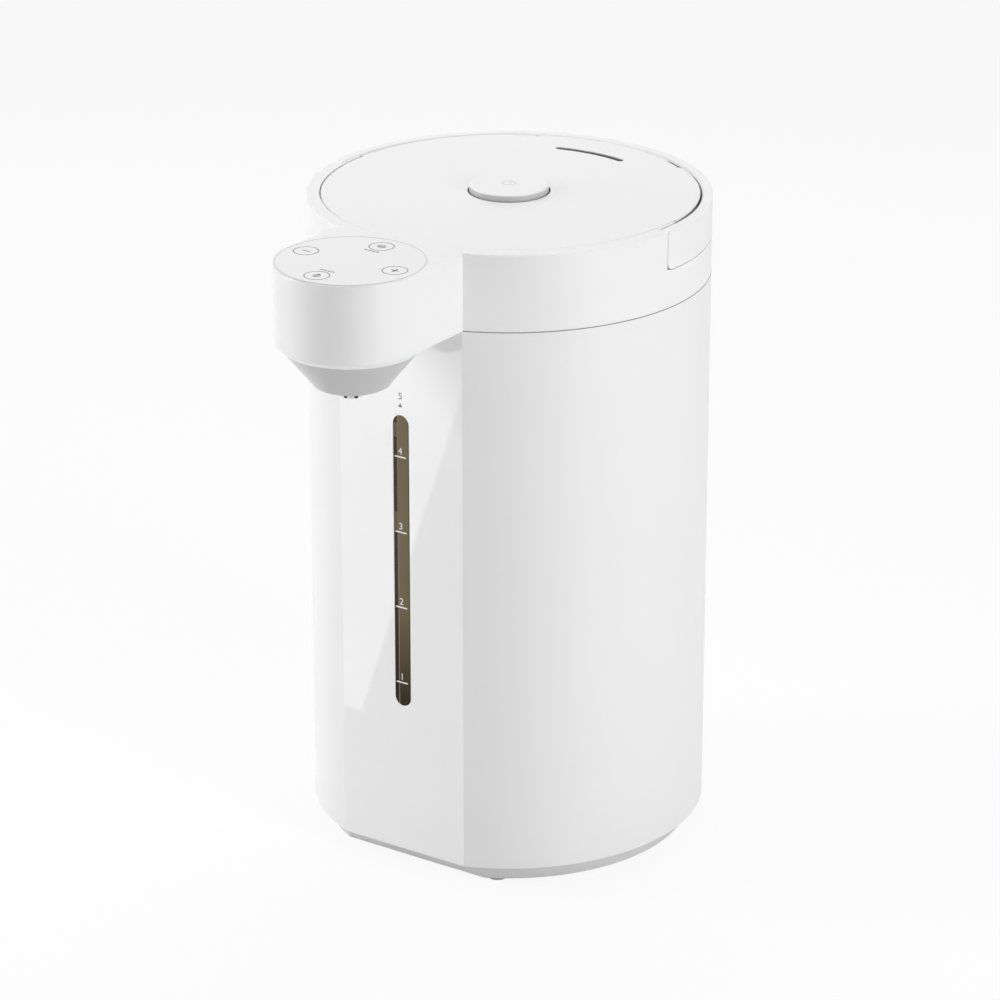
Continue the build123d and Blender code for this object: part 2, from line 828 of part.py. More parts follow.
def make_delivery_hose():
    start_x = outlet_x + volute_r - volute_wall - spigot_in
    start_y = pot_y + outlet_y - pump_reach
    tube_y = axis_y - tube_out
    delivery_hose = hose(
        [(start_x, start_y, pump_out_z), (start_x, start_y - 20, pump_out_z),
         (0, tube_y, pump_out_z + hose_rise), (0, tube_y, tube_low)],
        hose_bend, hose_r, hose_bore,
    )
    save(delivery_hose, "delivery_hose")


# Power board on four posts, with its larger components
board_in = 41.0           # support ring to the middle of the board
board_x = support_r - board_in
board_y = 6.0
board_w = 44.0
board_d = 72.0
board_z = 16.0
board_t = 1.6
post_r = 2.5
post_in = 4.0


def make_power_board():
    with BuildPart() as power_board:
        with BuildSketch(pot_level(board_z)):
            with Locations((board_x, board_y)):
                Rectangle(board_w, board_d)
        extrude(amount=board_t)
        with BuildSketch(pot_level(tray_top)):
            with Locations((board_x, board_y)):
                with GridLocations(board_w - 2 * post_in, board_d - 2 * post_in, 2, 2):
                    Circle(post_r)
        extrude(amount=board_z - tray_top)
    save(power_board, "power_board")


# Transformer, relay and three capacitors
transformer = (22.0, 18.0, 16.0)
relay = (16.0, 20.0, 14.0)
capacitor_r = 5.0
capacitor_h = 18.0


def make_board_components():
    left = board_x - board_w / 2 + 2 * post_in
    right = board_x + board_w / 2 - 2 * post_in
    front = board_y - board_d / 2 + post_in
    with BuildPart() as board_components:
        with BuildSketch(pot_level(board_z + board_t)):
            with Locations((left, front)):
                Rectangle(transformer[0], transformer[1], align=(Align.MIN, Align.MIN))
        extrude(amount=transformer[2])
        with BuildSketch(pot_level(board_z + board_t)):
            with Locations((right, board_y)):
                Rectangle(relay[0], relay[1], align=(Align.MAX, Align.CENTER))
        extrude(amount=relay[2])
        with BuildSketch(pot_level(board_z + board_t)):
            with Locations((left, board_y + 4), (left, board_y + 4 + 3 * capacitor_r)):
                Circle(capacitor_r)
            with Locations((right, board_y + board_d / 2 - 3 * capacitor_r)):
                Circle(capacitor_r - 1)
        extrude(amount=capacitor_h)
    save(board_components, "board_components")


# Power inlet: a recessed housing with two pins, let through the shell and tray
def make_inlet_socket():
    depth = inlet_depth + inlet_wall
    face = axis_y + inlet_back
    with BuildPart() as inlet_socket:
        with BuildSketch(half_section(face)):
            with Locations((0, inlet_z)):
                RectangleRounded(inlet_w, inlet_h, inlet_corner)
        extrude(amount=depth)
        with BuildSketch(half_section(face)):
            with Locations((0, inlet_z)):
                RectangleRounded(inlet_w - 2 * inlet_wall, inlet_h - 2 * inlet_wall, inlet_corner / 2)
        extrude(amount=inlet_depth, mode=Mode.SUBTRACT)
    save(inlet_socket, "inlet_socket")


def make_inlet_pins():
    back = axis_y + inlet_back - inlet_depth
    with BuildPart() as inlet_pins:
        with BuildSketch(half_section(back)):
            with Locations((-inlet_pin_x, inlet_z), (inlet_pin_x, inlet_z)):
                Circle(inlet_pin_r)
        extrude(amount=-inlet_pin_h)
    save(inlet_pins, "inlet_pins")


# Control board under the nose's roof, with a pad below each touch ring
pad_in = 9.5              # edge of the touch disc to the middle of a pad
pad_ring = touch_r - pad_in
pad_y = pad_ring - 0.4
pad_r = 4.5
pad_h = 4.4


def make_touch_board():
    roof = height - touch_t - roof_t
    pads = [(-pad_ring, 0), (pad_ring, 0), (0, pad_y), (0, -pad_y)]
    with BuildPart() as touch_board:
        with BuildSketch(Plane((0, nose_y, roof - pad_h - board_t))):
            Circle(nose_r - collar_wall - 2)
        extrude(amount=board_t)
        with BuildSketch(Plane((0, nose_y, roof - pad_h))):
            with Locations(*pads):
                Circle(pad_r)
        extrude(amount=pad_h)
    save(touch_board, "touch_board")


# Lid: cover disc with the button's guide, the steam slot and the ribs that hold the hinge pin
skirt_t = 2.2
skirt_h = 8.2
button_gap = 1.0
guide_wall = 2.0
guide_h = 7.0
vent_in = 19.3            # lid's edge to the middle of the steam slot
vent_out = lid_r - vent_in
vent_half = 14.3
vent_w = 4.0
rib_half = 19.0
end_rib_x = 35.5
end_rib_w = 5.0
pin_half = 37.5
skin_t = 0.8
cup_in = 7.0              # pot's neck to the cup
cup_r = neck_r - cup_in
cup_wall = 2.0
cup_drop = 27.0
skirt_gap = 18.0          # hinge to the end of the skirt
rib_t = 6.0
post_room = 4.5


def make_lid_cover():
    low_rib = hinge_z - 2.6
    plate_z = height - lid_plate
    vent_line = CenterArc((0, 0), vent_out, 90 - vent_half, 2 * vent_half)
    with BuildPart() as lid_cover:
        with BuildSketch(level(plate_z)):
            Circle(lid_r)
        extrude(amount=lid_plate)
        fillet(lid_cover.faces().sort_by(Axis.Z)[-1].edges(), 0.8)
        with BuildSketch(level(height - skirt_h)):
            Circle(lid_r)
            Circle(lid_r - skirt_t, mode=Mode.SUBTRACT)
            with Locations((0, hinge_back - skirt_gap)):
                Rectangle(3 * lid_r, lid_r, align=(Align.CENTER, Align.MIN), mode=Mode.SUBTRACT)
        extrude(amount=skirt_h - lid_plate)
        with BuildSketch(level(height - guide_h)):
            Circle(button_r + button_gap + guide_wall)
        extrude(amount=guide_h - lid_plate)
        with BuildSketch(level(height - guide_h)):
            Circle(button_r + button_gap)
        extrude(amount=guide_h, mode=Mode.SUBTRACT)
        with BuildSketch(Plane((0, hinge_y, low_rib))):
            Rectangle(2 * rib_half, rib_t)
            with Locations((-end_rib_x, 0), (end_rib_x, 0)):
                Rectangle(end_rib_w, rib_t)
        extrude(amount=plate_z - low_rib)
        with BuildSketch(Plane((0, hinge_y, plate_z))):
            with Locations((-post_x, -post_room), (post_x, -post_room)):
                Rectangle(post_w + 1, lid_r, align=(Align.CENTER, Align.MIN))
        extrude(amount=lid_plate - skin_t, mode=Mode.SUBTRACT)
        with BuildSketch(Plane(origin=(-pin_half, hinge_y, hinge_z), x_dir=(0, 1, 0), z_dir=(1, 0, 0))):
            Circle(pin_r)
        extrude(amount=2 * pin_half, mode=Mode.SUBTRACT)
        with BuildSketch(level(plate_z)):
            SlotArc(vent_line, vent_w)
        extrude(amount=lid_plate, mode=Mode.SUBTRACT)
    save(lid_cover, "lid_cover")


def make_lid_hinge_pin():
    with BuildPart() as lid_hinge_pin:
        with BuildSketch(Plane(origin=(-pin_half, hinge_y, hinge_z), x_dir=(0, 1, 0), z_dir=(1, 0, 0))):
            Circle(pin_r)
        extrude(amount=2 * pin_half)
    save(lid_hinge_pin, "lid_hinge_pin")


# Trough under the steam slot
trough_w = 6.0
trough_h = 4.6
trough_wall = 1.2


def make_steam_trough():
    low = height - lid_plate - trough_h
    turn = radians(90 - vent_half - 2)
    with BuildPart() as steam_trough:
        with BuildSketch(Plane(origin=(0, axis_y, 0), x_dir=(cos(turn), sin(turn), 0),
                               z_dir=(sin(turn), -cos(turn), 0))):
            with Locations((vent_out + 1, low)):
                Rectangle(trough_w, trough_h, align=(Align.CENTER, Align.MIN))
            with Locations((vent_out + 1, low + trough_wall)):
                Rectangle(
                    trough_w - 2 * trough_wall, trough_h, align=(Align.CENTER, Align.MIN), mode=Mode.SUBTRACT
                )
        revolve(axis=body_axis, revolution_arc=2 * vent_half + 4)
    save(steam_trough, "steam_trough")


# Cup under the cover: plug of the pot's mouth, spring seat and the bolts' guides
spring_seat_drop = 16.0
spring_r = 7.0
wire_r = 0.5
spring_turns = 4.5
spring_high = height - 2.0
bolt_back = 27.0          # body axis to a bolt's inner end
bolt_low = latch_z - latch_t


def make_lid_cup():
    low = height - cup_drop
    with BuildPart() as lid_cup:
        with BuildSketch(pot_level(low)):
            Circle(cup_r)
        extrude(amount=cup_drop - lid_plate)
        with BuildSketch(pot_level(low + cup_wall)):
            Circle(cup_r - cup_wall)
        extrude(amount=cup_drop, mode=Mode.SUBTRACT)
        with BuildSketch(level(low)):
            Circle(spring_r + 3)
        extrude(amount=cup_drop - spring_seat_drop)
        with BuildSketch(level(low)):
            for side in (-1, 1):
                for y in (-bolt_back - 9, cup_wall - cup_r + 12):
                    with Locations((side * latch_x, y)):
                        Rectangle(latch_w + 4, cup_wall)
        extrude(amount=latch_z - low)
        with BuildSketch(level(bolt_low - 0.1)):
            with Locations((-latch_x, -bolt_back + 8), (latch_x, -bolt_back + 8)):
                Rectangle(latch_w + 0.4, lid_r, align=(Align.CENTER, Align.MAX))
        extrude(amount=latch_t + 0.3, mode=Mode.SUBTRACT)
    save(lid_cup, "lid_cup")


# Steel cover under the cup, its steam holes, and the lip seal held between the two
seal_seat = 1.5
seal_lip = 1.0
seal_slip = 0.8
seal_h = 6.0
steam_holes = 5
steam_hole_r = 1.4
steam_hole_pitch = 5.0
steam_hole_in = 12.0


def make_lid_inner_cover():
    with BuildPart() as lid_inner_cover:
        with BuildSketch(pot_level(height - cup_drop - pot_wall)):
            Circle(cup_r + seal_seat)
            with Locations((0, cup_r - steam_hole_in)):
                with GridLocations(steam_hole_pitch, 1, steam_holes, 1):
                    Circle(steam_hole_r, mode=Mode.SUBTRACT)
        extrude(amount=pot_wall)
    save(lid_inner_cover, "lid_inner_cover")


def make_lid_gasket():
    low = height - cup_drop
    with BuildPart() as lid_gasket:
        with BuildSketch(half_section(pot_y)):
            with BuildLine():
                Polyline(
                    (cup_r, low), (cup_r + seal_seat, low),
                    (neck_r - seal_slip, low + seal_h), (neck_r - seal_slip, low + seal_h + seal_lip),
                    (cup_r + seal_seat, low + seal_h - seal_lip), (cup_r, low + seal_h - seal_lip), close=True,
                )
            make_face()
        revolve(axis=pot_axis)
    save(lid_gasket, "lid_gasket")


def make_lid_button():
    low = height - guide_h - 1.6
    with BuildPart() as lid_button:
        with BuildSketch(level(low)):
            Circle(button_r)
        extrude(amount=height + button_proud - low)
        fillet(lid_button.faces().sort_by(Axis.Z)[-1].edges(), 1.2)
        with BuildSketch(level(low)):
            Circle(button_r + button_gap + guide_wall - 0.3)
        extrude(amount=1.5)
        with BuildSketch(level(low)):
            Circle(spring_r + 1.2)
        extrude(amount=spring_high - low, mode=Mode.SUBTRACT)
    save(lid_button, "lid_button")


def make_button_spring():
    low = height - spring_seat_drop + wire_r
    high = spring_high - wire_r
    pitch = (high - low) / spring_turns
    with BuildPart() as button_spring:
        with BuildLine(level(low)) as coil:
            Helix(pitch=pitch, height=high - low, radius=spring_r)
        start = coil.wires()[0] @ 0
        heading = coil.wires()[0] % 0
        with BuildSketch(Plane(origin=start, z_dir=heading)) as wire:
            Circle(wire_r)
        sweep(wire.sketch, path=coil.wires()[0], is_frenet=True)
    save(button_spring, "button_spring")
    print("button_spring gap between turns", round(pitch - 2 * wire_r, 2))


# Latch bolts, pulled back together when the button goes down
def make_latch_bolts():
    rim_y = -sqrt(well_r**2 - latch_x**2)
    for side, label in ((-1, "latch_bolt_left"), (1, "latch_bolt_right")):
        with BuildPart() as latch_bolt:
            with BuildSketch(level(bolt_low)):
                with Locations((side * latch_x, -bolt_back)):
                    Rectangle(latch_w, -rim_y + latch_reach - bolt_back, align=(Align.CENTER, Align.MAX))
            extrude(amount=latch_t)
            nose_edge = latch_bolt.faces().sort_by(Axis.Y)[0].edges().sort_by(Axis.Z)[0]
            chamfer(nose_edge, 1.8)
        save(latch_bolt, label)


# Carrying bail: a half ring with straight-faced ends on two pivots
def make_carry_handle():
    low = height - bail_drop
    with BuildPart() as carry_handle:
        with BuildSketch(level(low)):
            Circle(body_r)
            Circle(bail_in, mode=Mode.SUBTRACT)
            Rectangle(2 * bail_in, 10, align=(Align.CENTER, Align.CENTER), mode=Mode.SUBTRACT)
            with Locations((0, bail_front)):
                Rectangle(3 * body_r, 3 * body_r, align=(Align.CENTER, Align.MAX), mode=Mode.SUBTRACT)
                Rectangle(2 * bail_in, 3 * pivot_in, align=(Align.CENTER, Align.MIN), mode=Mode.SUBTRACT)
        extrude(amount=bail_drop)
        ends = carry_handle.faces().filter_by(Axis.Y).group_by(Axis.Y)[0]
        for end in ends:
            across = end.edges().filter_by(Axis.X)
            fillet(across.sort_by(Axis.Z)[-1], bail_corner)
        ends = carry_handle.faces().filter_by(Axis.Y).group_by(Axis.Y)[0]
        for end in ends:
            across = end.edges().filter_by(Axis.X)
            fillet(across.sort_by(Axis.Z)[0], bail_corner_low)
        # Bevel of the inner top edge, which clears the open lid
        with BuildSketch(half_section(axis_y)):
            with BuildLine():
                Polyline(
                    (bail_in - bail_edge, height - 2 * bail_edge), (bail_in + bail_edge, height),
                    (bail_in - bail_edge, height), close=True,
                )
            make_face()
        revolve(axis=body_axis, mode=Mode.SUBTRACT)
        with BuildSketch(side_plane(-body_r + 1.2)):
            with Locations((pivot_y, pivot_z)):
                Circle(pivot_r + play)
        extrude(amount=2 * body_r - 2.4, mode=Mode.SUBTRACT)
    save(carry_handle, "carry_handle")


def make_handle_pins():
    for side, label in ((-1, "handle_pin_left"), (1, "handle_pin_right")):
        with BuildPart() as handle_pin:
            with BuildSketch(side_plane(side * (well_r + 0.2))):
                with Locations((pivot_y, pivot_z)):
                    Circle(pivot_r)
            extrude(amount=side * 5.6)
        save(handle_pin, label)


make_outer_shell()
make_front_panel()
make_window_lens()
make_top_collar()
make_touch_panel()
make_spout_cowl()
make_nozzle()
make_spout_hose()
make_level_tube()
make_level_seals()
make_inner_pot()
make_pot_gasket()
make_insulation_wrap()
make_base_tray()
make_feet()
make_base_screws()
make_pot_support()
make_heating_plate()
make_heater_terminals()
make_thermostats()
make_pump_housing()
make_pump_cover()
make_suction_hose()
make_impeller()
make_pump_motor()
make_delivery_hose()
make_power_board()
make_board_components()
make_inlet_socket()
make_inlet_pins()
make_touch_board()
make_lid_cover()
make_lid_hinge_pin()
make_steam_trough()
make_lid_cup()
make_lid_inner_cover()
make_lid_gasket()
make_lid_button()
make_button_spring()
make_latch_bolts()
make_carry_handle()
make_handle_pins()
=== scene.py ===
import bpy
from math import cos, pi, radians, sin
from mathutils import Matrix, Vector


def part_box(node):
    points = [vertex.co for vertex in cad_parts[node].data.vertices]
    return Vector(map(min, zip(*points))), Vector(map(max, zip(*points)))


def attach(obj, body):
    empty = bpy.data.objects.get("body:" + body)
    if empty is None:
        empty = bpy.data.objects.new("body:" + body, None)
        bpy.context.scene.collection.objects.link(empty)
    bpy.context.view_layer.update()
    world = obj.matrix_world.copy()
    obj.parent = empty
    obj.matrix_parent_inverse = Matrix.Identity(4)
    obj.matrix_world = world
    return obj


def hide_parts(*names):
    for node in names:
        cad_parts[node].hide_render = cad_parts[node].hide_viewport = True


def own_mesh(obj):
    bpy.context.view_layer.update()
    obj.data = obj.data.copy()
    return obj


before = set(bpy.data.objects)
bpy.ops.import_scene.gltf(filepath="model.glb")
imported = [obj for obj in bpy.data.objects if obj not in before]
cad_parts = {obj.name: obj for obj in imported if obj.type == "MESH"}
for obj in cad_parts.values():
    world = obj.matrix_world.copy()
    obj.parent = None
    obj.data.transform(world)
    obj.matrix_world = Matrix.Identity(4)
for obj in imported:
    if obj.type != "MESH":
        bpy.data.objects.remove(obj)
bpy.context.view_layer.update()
print("boiler frame loaded,", len(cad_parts), "nodes")

mm = 0.001

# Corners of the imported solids, in metres, that the new pieces are set out from
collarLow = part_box("top_collar")[0]
discLow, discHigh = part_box("touch_panel")
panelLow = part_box("front_panel")[0]
buttonLow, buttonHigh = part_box("lid_button")
lidLow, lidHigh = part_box("lid_cover")
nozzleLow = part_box("nozzle")[0]
seam = collarLow[2]  # height at which the collar meets the shell
noseCentre = Vector(((discLow[0] + discHigh[0]) / 2, (discLow[1] + discHigh[1]) / 2, 0))
bodyCentre = Vector((0, (lidLow[1] + lidHigh[1]) / 2, 0))
buttonCentre = Vector(((buttonLow[0] + buttonHigh[0]) / 2, (buttonLow[1] + buttonHigh[1]) / 2, 0))


def raised(height):
    return Vector((0, 0, height))


class Wire:
    # One output of a node; sums of wires, or of a wire and a number, become Math nodes
    def __init__(self, finish, socket):
        self.finish = finish
        self.socket = socket

    def maths(self, operation, first, second):
        return self.finish.node("ShaderNodeMath", {"operation": operation}, {0: first, 1: second})

    def __add__(self, other):
        return self.maths("ADD", self, other)

    def __radd__(self, other):
        return self.maths("ADD", other, self)

    def __sub__(self, other):
        return self.maths("SUBTRACT", self, other)

    def __rsub__(self, other):
        return self.maths("SUBTRACT", other, self)

    def __mul__(self, other):
        return self.maths("MULTIPLY", self, other)

    def __rmul__(self, other):
        return self.maths("MULTIPLY", other, self)

    def __gt__(self, other):
        return self.maths("GREATER_THAN", self, other)

    def __lt__(self, other):
        return self.maths("LESS_THAN", self, other)


class Finish:
    # A material under construction, with its Principled shader ready
    def __init__(self, name):
        self.material = bpy.data.materials.new(name)
        self.material.use_nodes = True
        self.tree = self.material.node_tree
        self.shader = self.tree.nodes["Principled BSDF"]
        self.places = self.node("ShaderNodeTexCoord", {}, {}, "Object")

    def node(self, kind, settings, inputs, output=0):
        made = self.tree.nodes.new(kind)
        for key, value in settings.items():
            setattr(made, key, value)
        for key, value in inputs.items():
            self.feed(made.inputs[key], value)
        return Wire(self, made.outputs[output])

    def feed(self, socket, value):
        if isinstance(value, Wire):
            self.tree.links.new(value.socket, socket)
        else:
            socket.default_value = value

    def set(self, **values):
        for key, value in values.items():
            self.feed(self.shader.inputs[key.replace("_", " ")], value)

    def noise(self, scale, detail, stretch=(1, 1, 1)):
        spread = self.node("ShaderNodeMapping", {}, {"Vector": self.places, "Scale": stretch})
        inputs = {"Vector": spread, "Scale": scale, "Detail": detail}
        return self.node("ShaderNodeTexNoise", {}, inputs)

    def blend(self, factor, dark, light):
        return self.node("ShaderNodeMix", {"data_type": "RGBA"}, {0: factor, 6: dark, 7: light}, 2)

    def bump(self, relief, strength, distance):
        inputs = {"Height": relief, "Strength": strength, "Distance": distance}
        return self.node("ShaderNodeBump", {}, inputs)


def grey(value, warm=0.0):
    return (value + warm, value + warm / 2, value, 1)


# Plastics and lacquer: a base colour with a slow drift, fine skin texture and uneven gloss
plasticLooks = {
    "shellLacquer": {
        "base": 0.83, "drift": 0.015, "rough": 0.34, "grain": 900, "bump": 0.05, "coat": 0.25,
    },
    "whiteMoulding": {
        "base": 0.85, "drift": 0.012, "rough": 0.36, "grain": 1400, "bump": 0.04, "coat": 0.1,
    },
    "glossPanel": {
        "base": 0.945, "drift": 0.008, "rough": 0.03, "grain": 300, "bump": 0.01, "coat": 0.6,
        "coatRough": 0.015,
    },
    "touchGlass": {
        "base": 0.845, "drift": 0.008, "rough": 0.22, "grain": 500, "bump": 0.01, "coat": 0.4,
    },
    # Pale grey darkened with painted shade for the spout cone's downward face
    "greyCowlShaded": {
        "base": 0.5, "drift": 0.02, "rough": 0.3, "grain": 1600, "bump": 0.04, "coat": 0.3,
    },
    "baseGrey": {
        "base": 0.66, "drift": 0.03, "rough": 0.5, "grain": 1500, "bump": 0.08, "coat": 0.0,
    },
    "footRubber": {
        "base": 0.45, "drift": 0.05, "rough": 0.8, "grain": 1800, "bump": 0.15, "coat": 0.0,
    },
    "siliconeWhite": {
        "base": 0.72, "drift": 0.03, "rough": 0.55, "grain": 900, "bump": 0.06, "coat": 0.0,
    },
    "darkPlastic": {
        "base": 0.03, "drift": 0.01, "rough": 0.5, "grain": 1500, "bump": 0.1, "coat": 0.0,
    },
    # Near black for painted shade: the steam trough and the baffle under the slot, the nozzle's
    # ports and the button's gap
    "slotShadeDark": {
        "base": 0.02, "drift": 0.01, "rough": 0.7, "grain": 900, "bump": 0.05, "coat": 0.0,
    },
    # Dark grey for the painted shadow line between the collar and the shell
    "seamShadowGrey": {
        "base": 0.2, "drift": 0.01, "rough": 0.6, "grain": 900, "bump": 0.05, "coat": 0.0,
    },
    # Grey for the painted shade on the side of the press button
    "bandShadeGrey": {
        "base": 0.56, "drift": 0.02, "rough": 0.35, "grain": 1200, "bump": 0.03, "coat": 0.1,
    },
}
plasticSkin = {
    "driftScale": 9.0, "detail": 3.0, "palest": 0.95, "unevenSlow": 0.06, "unevenFine": 0.04,
    "coatRough": 0.08, "relief": 0.0004,
}


def plastic(name):
    look, skin = plasticLooks[name], plasticSkin
    finish = Finish(name)
    slow = finish.noise(skin["driftScale"], skin["detail"])
    fine = finish.noise(look["grain"], skin["detail"])
    low = grey(look["base"] - look["drift"])
    high = grey(min(look["base"] + look["drift"], skin["palest"]))
    uneven = (slow - 0.5) * skin["unevenSlow"]
    finish.set(Base_Color=finish.blend(slow, low, high))
    finish.set(Roughness=look["rough"] + uneven + (fine - 0.5) * skin["unevenFine"])
    finish.set(Coat_Weight=look["coat"], Coat_Roughness=look.get("coatRough", skin["coatRough"]))
    finish.set(Normal=finish.bump(fine, look["bump"], skin["relief"]))
    return finish.material


# Metals: a brushed grain that runs round the pot or along a strip
metalLooks = {
    "potSteel": {"colour": (0.68, 0.68, 0.69), "rough": 0.28, "stretch": (6, 6, 220)},
    "coverSteel": {"colour": (0.68, 0.68, 0.69), "rough": 0.3, "stretch": (4, 260, 4)},
    "castAluminium": {"colour": (0.60, 0.61, 0.62), "rough": 0.5, "stretch": (60, 60, 60)},
    "brassPins": {"colour": (0.72, 0.55, 0.26), "rough": 0.3, "stretch": (200, 20, 200)},
}
metalGrain = {
    "scale": 18.0, "detail": 4.0, "slowScale": 12.0, "slowDetail": 2.0, "share": 0.6,
    "darker": 0.92, "uneven": 0.1, "bump": 0.05, "relief": 0.0002,
}


def metal(name):
    look, brushed = metalLooks[name], metalGrain
    finish = Finish(name)
    grain = finish.noise(brushed["scale"], brushed["detail"], look["stretch"])
    slow = finish.noise(brushed["slowScale"], brushed["slowDetail"])
    light = (*look["colour"], 1)
    dark = (*(brushed["darker"] * part for part in look["colour"]), 1)
    mixed = grain * brushed["share"] + slow * (1 - brushed["share"])
    finish.set(Base_Color=finish.blend(mixed, dark, light))
    finish.set(Metallic=1.0, Roughness=look["rough"] + (grain - 0.5) * brushed["uneven"])
    finish.set(Normal=finish.bump(grain, brushed["bump"], brushed["relief"]))
    return finish.material


# The level window: smoky brown acrylic, lighter at the top and darker towards the bottom. Down its
# left side a strip of painted shade, lighter in two stretches, and a painted highlight line beside
# it stand for the edge of the level tube behind it; painted shade runs round its rim.
windowLook = {
    "top": (0.19, 0.135, 0.085, 1), "olive": (0.17, 0.145, 0.075, 1), "oliveFrom": 0.9 * mm,
    "bottom": (0.04, 0.028, 0.017, 1), "fade": (98 * mm, 152 * mm), "cloudy": 0.08,
    "dark": (0.025, 0.017, 0.01, 1), "strip": -2.5 * mm, "stripPaintedShade": 0.85, "paleShade": 0.6,
    "pale": [(191.8 * mm, 201.7 * mm), (242.5 * mm, 250.5 * mm)],
    "line": (0.34, 0.28, 0.19, 1), "lineWide": 0.55 * mm, "highlightShare": 0.25, "lineBelow": 192 * mm,
    "highlightShareBelow": 0.35, "edge": 4.35 * mm, "edgeShade": 0.75, "rough": 0.12, "uneven": 0.04,
    "gloss": 0.1, "cloud": 60.0, "detail": 2.0,
}


def windowTint():
    look = windowLook
    finish = Finish("windowTint")
    across = finish.node("ShaderNodeSeparateXYZ", {}, {0: finish.places}, 0)
    up = finish.node("ShaderNodeSeparateXYZ", {}, {0: finish.places}, 2)
    low, high = look["fade"]
    span = {"Value": up, "From Min": low, "From Max": high}
    rise = finish.node("ShaderNodeMapRange", {}, span)
    cloud = finish.noise(look["cloud"], look["detail"])
    body = finish.blend(across > look["oliveFrom"], look["top"], look["olive"])
    # Lighter at the top, darker towards the bottom
    body = finish.blend(rise + (cloud - 0.5) * look["cloudy"], look["bottom"], body)
    pale = sum((up > start) * (up < end) for start, end in look["pale"])
    # Painted shade: a dark strip down the left side for the level tube's edge, lighter in the pale
    # stretches
    strip = (across < look["strip"]) * (look["stripPaintedShade"] - pale * look["paleShade"])
    body = finish.blend(strip, body, look["dark"])
    # Painted highlight: a light line beside the strip for the tube's bright edge
    line = (across > look["strip"]) * (across < look["strip"] + look["lineWide"])
    line = line * (look["highlightShare"] + (up < look["lineBelow"]) * look["highlightShareBelow"])
    body = finish.blend(line, body, look["line"])
    # Painted shade round the rim of the pane
    rim = (across > look["edge"]) + (across < -look["edge"])
    finish.set(Base_Color=finish.blend(rim * look["edgeShade"], body, look["dark"]))
    finish.set(Roughness=look["rough"] + (cloud - 0.5) * look["uneven"])
    finish.set(Specular_IOR_Level=look["gloss"])
    return finish.material


feltLook = {
    "fibre": 420.0, "detail": 6.0, "dark": grey(0.45, 0.02), "light": grey(0.66, 0.03),
    "rough": 0.95, "bump": 0.5, "relief": 0.001,
}


def feltWrap():
    look = feltLook
    finish = Finish("feltWrap")
    fibre = finish.noise(look["fibre"], look["detail"])
    finish.set(Base_Color=finish.blend(fibre, look["dark"], look["light"]), Roughness=look["rough"])
    finish.set(Normal=finish.bump(fibre, look["bump"], look["relief"]))
    return finish.material


boardLook = {
    "cells": 260.0, "line": 0.08, "copper": (0.03, 0.14, 0.06, 1), "green": (0.02, 0.09, 0.04, 1),
    "rough": 0.4,
}


def boardGreen():
    look = boardLook
    finish = Finish("boardGreen")
    cells = {"Vector": finish.places, "Scale": look["cells"]}
    copper = finish.node("ShaderNodeTexVoronoi", {"feature": "DISTANCE_TO_EDGE"}, cells)
    colour = finish.blend(copper > look["line"], look["copper"], look["green"])
    finish.set(Base_Color=colour, Roughness=look["rough"])
    return finish.material


glassLook = {
    "haze": 80.0, "detail": 2.0, "dark": grey(0.86), "light": grey(0.93), "uneven": 0.06,
    "rough": 0.02, "alpha": 0.35,
}


def clearGlass():
    look = glassLook
    finish = Finish("clearGlass")
    haze = finish.noise(look["haze"], look["detail"])
    finish.set(Base_Color=finish.blend(haze, look["dark"], look["light"]))
    finish.set(Roughness=haze * look["uneven"] + look["rough"], Alpha=look["alpha"])
    return finish.material


inkLook = {
    "shades": {"whiteInk": 0.85, "greyInk": 0.2, "paleInk": 0.55},
    "speck": 2600.0, "detail": 3.0, "darker": 0.93, "rough": 0.5, "uneven": 0.1,
}


def printedInk(name):
    look = inkLook
    shade = look["shades"][name]
    finish = Finish(name)
    speck = finish.noise(look["speck"], look["detail"])
    finish.set(Base_Color=finish.blend(speck, grey(shade * look["darker"]), grey(shade)))
    finish.set(Roughness=look["rough"] + speck * look["uneven"])
    return finish.material


finishes = {name: plastic(name) for name in plasticLooks}
finishes.update({name: metal(name) for name in metalLooks})
finishes["windowTint"] = windowTint()
finishes["feltWrap"] = feltWrap()
finishes["boardGreen"] = boardGreen()
finishes["clearGlass"] = clearGlass()
finishes.update({name: printedInk(name) for name in inkLook["shades"]})
print("finishes made:", len(finishes))

nodeFinish = {
    "shellLacquer": ["outer_shell"],
    "whiteMoulding": [
        "top_collar", "nozzle", "lid_cover", "lid_cup", "lid_button", "carry_handle",
        "latch_bolt_left", "latch_bolt_right",
    ],
    "glossPanel": ["front_panel"],
    "touchGlass": ["touch_panel"],
    "greyCowlShaded": ["spout_cowl"],
    "baseGrey": ["base_tray"],
    "footRubber": ["foot_1", "foot_2", "foot_3", "foot_4"],
    "siliconeWhite": [
        "spout_hose", "level_seal_lower", "level_seal_upper", "pot_gasket", "suction_hose",
        "delivery_hose", "lid_gasket",
    ],
    "darkPlastic": [
        "boil_thermostat", "safety_thermostat", "pump_housing", "pump_cover", "impeller",
        "board_components", "inlet_socket",
    ],
    "slotShadeDark": ["steam_trough"],
    "potSteel": [
        "inner_pot", "base_screws", "pot_support", "pump_motor", "lid_hinge_pin",
        "button_spring", "handle_pin_left", "handle_pin_right",
    ],
    "coverSteel": ["lid_inner_cover"],
    "castAluminium": ["heating_plate"],
    "brassPins": ["heater_terminals", "inlet_pins"],
    "windowTint": ["window_lens"],
    "feltWrap": ["insulation_wrap"],
    "boardGreen": ["power_board", "touch_board"],
    "clearGlass": ["level_tube"],
}
for finishName, nodeNames in nodeFinish.items():
    for nodeName in nodeNames:
        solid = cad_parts[nodeName]
        solid.data.materials.clear()
        solid.data.materials.append(finishes[finishName])
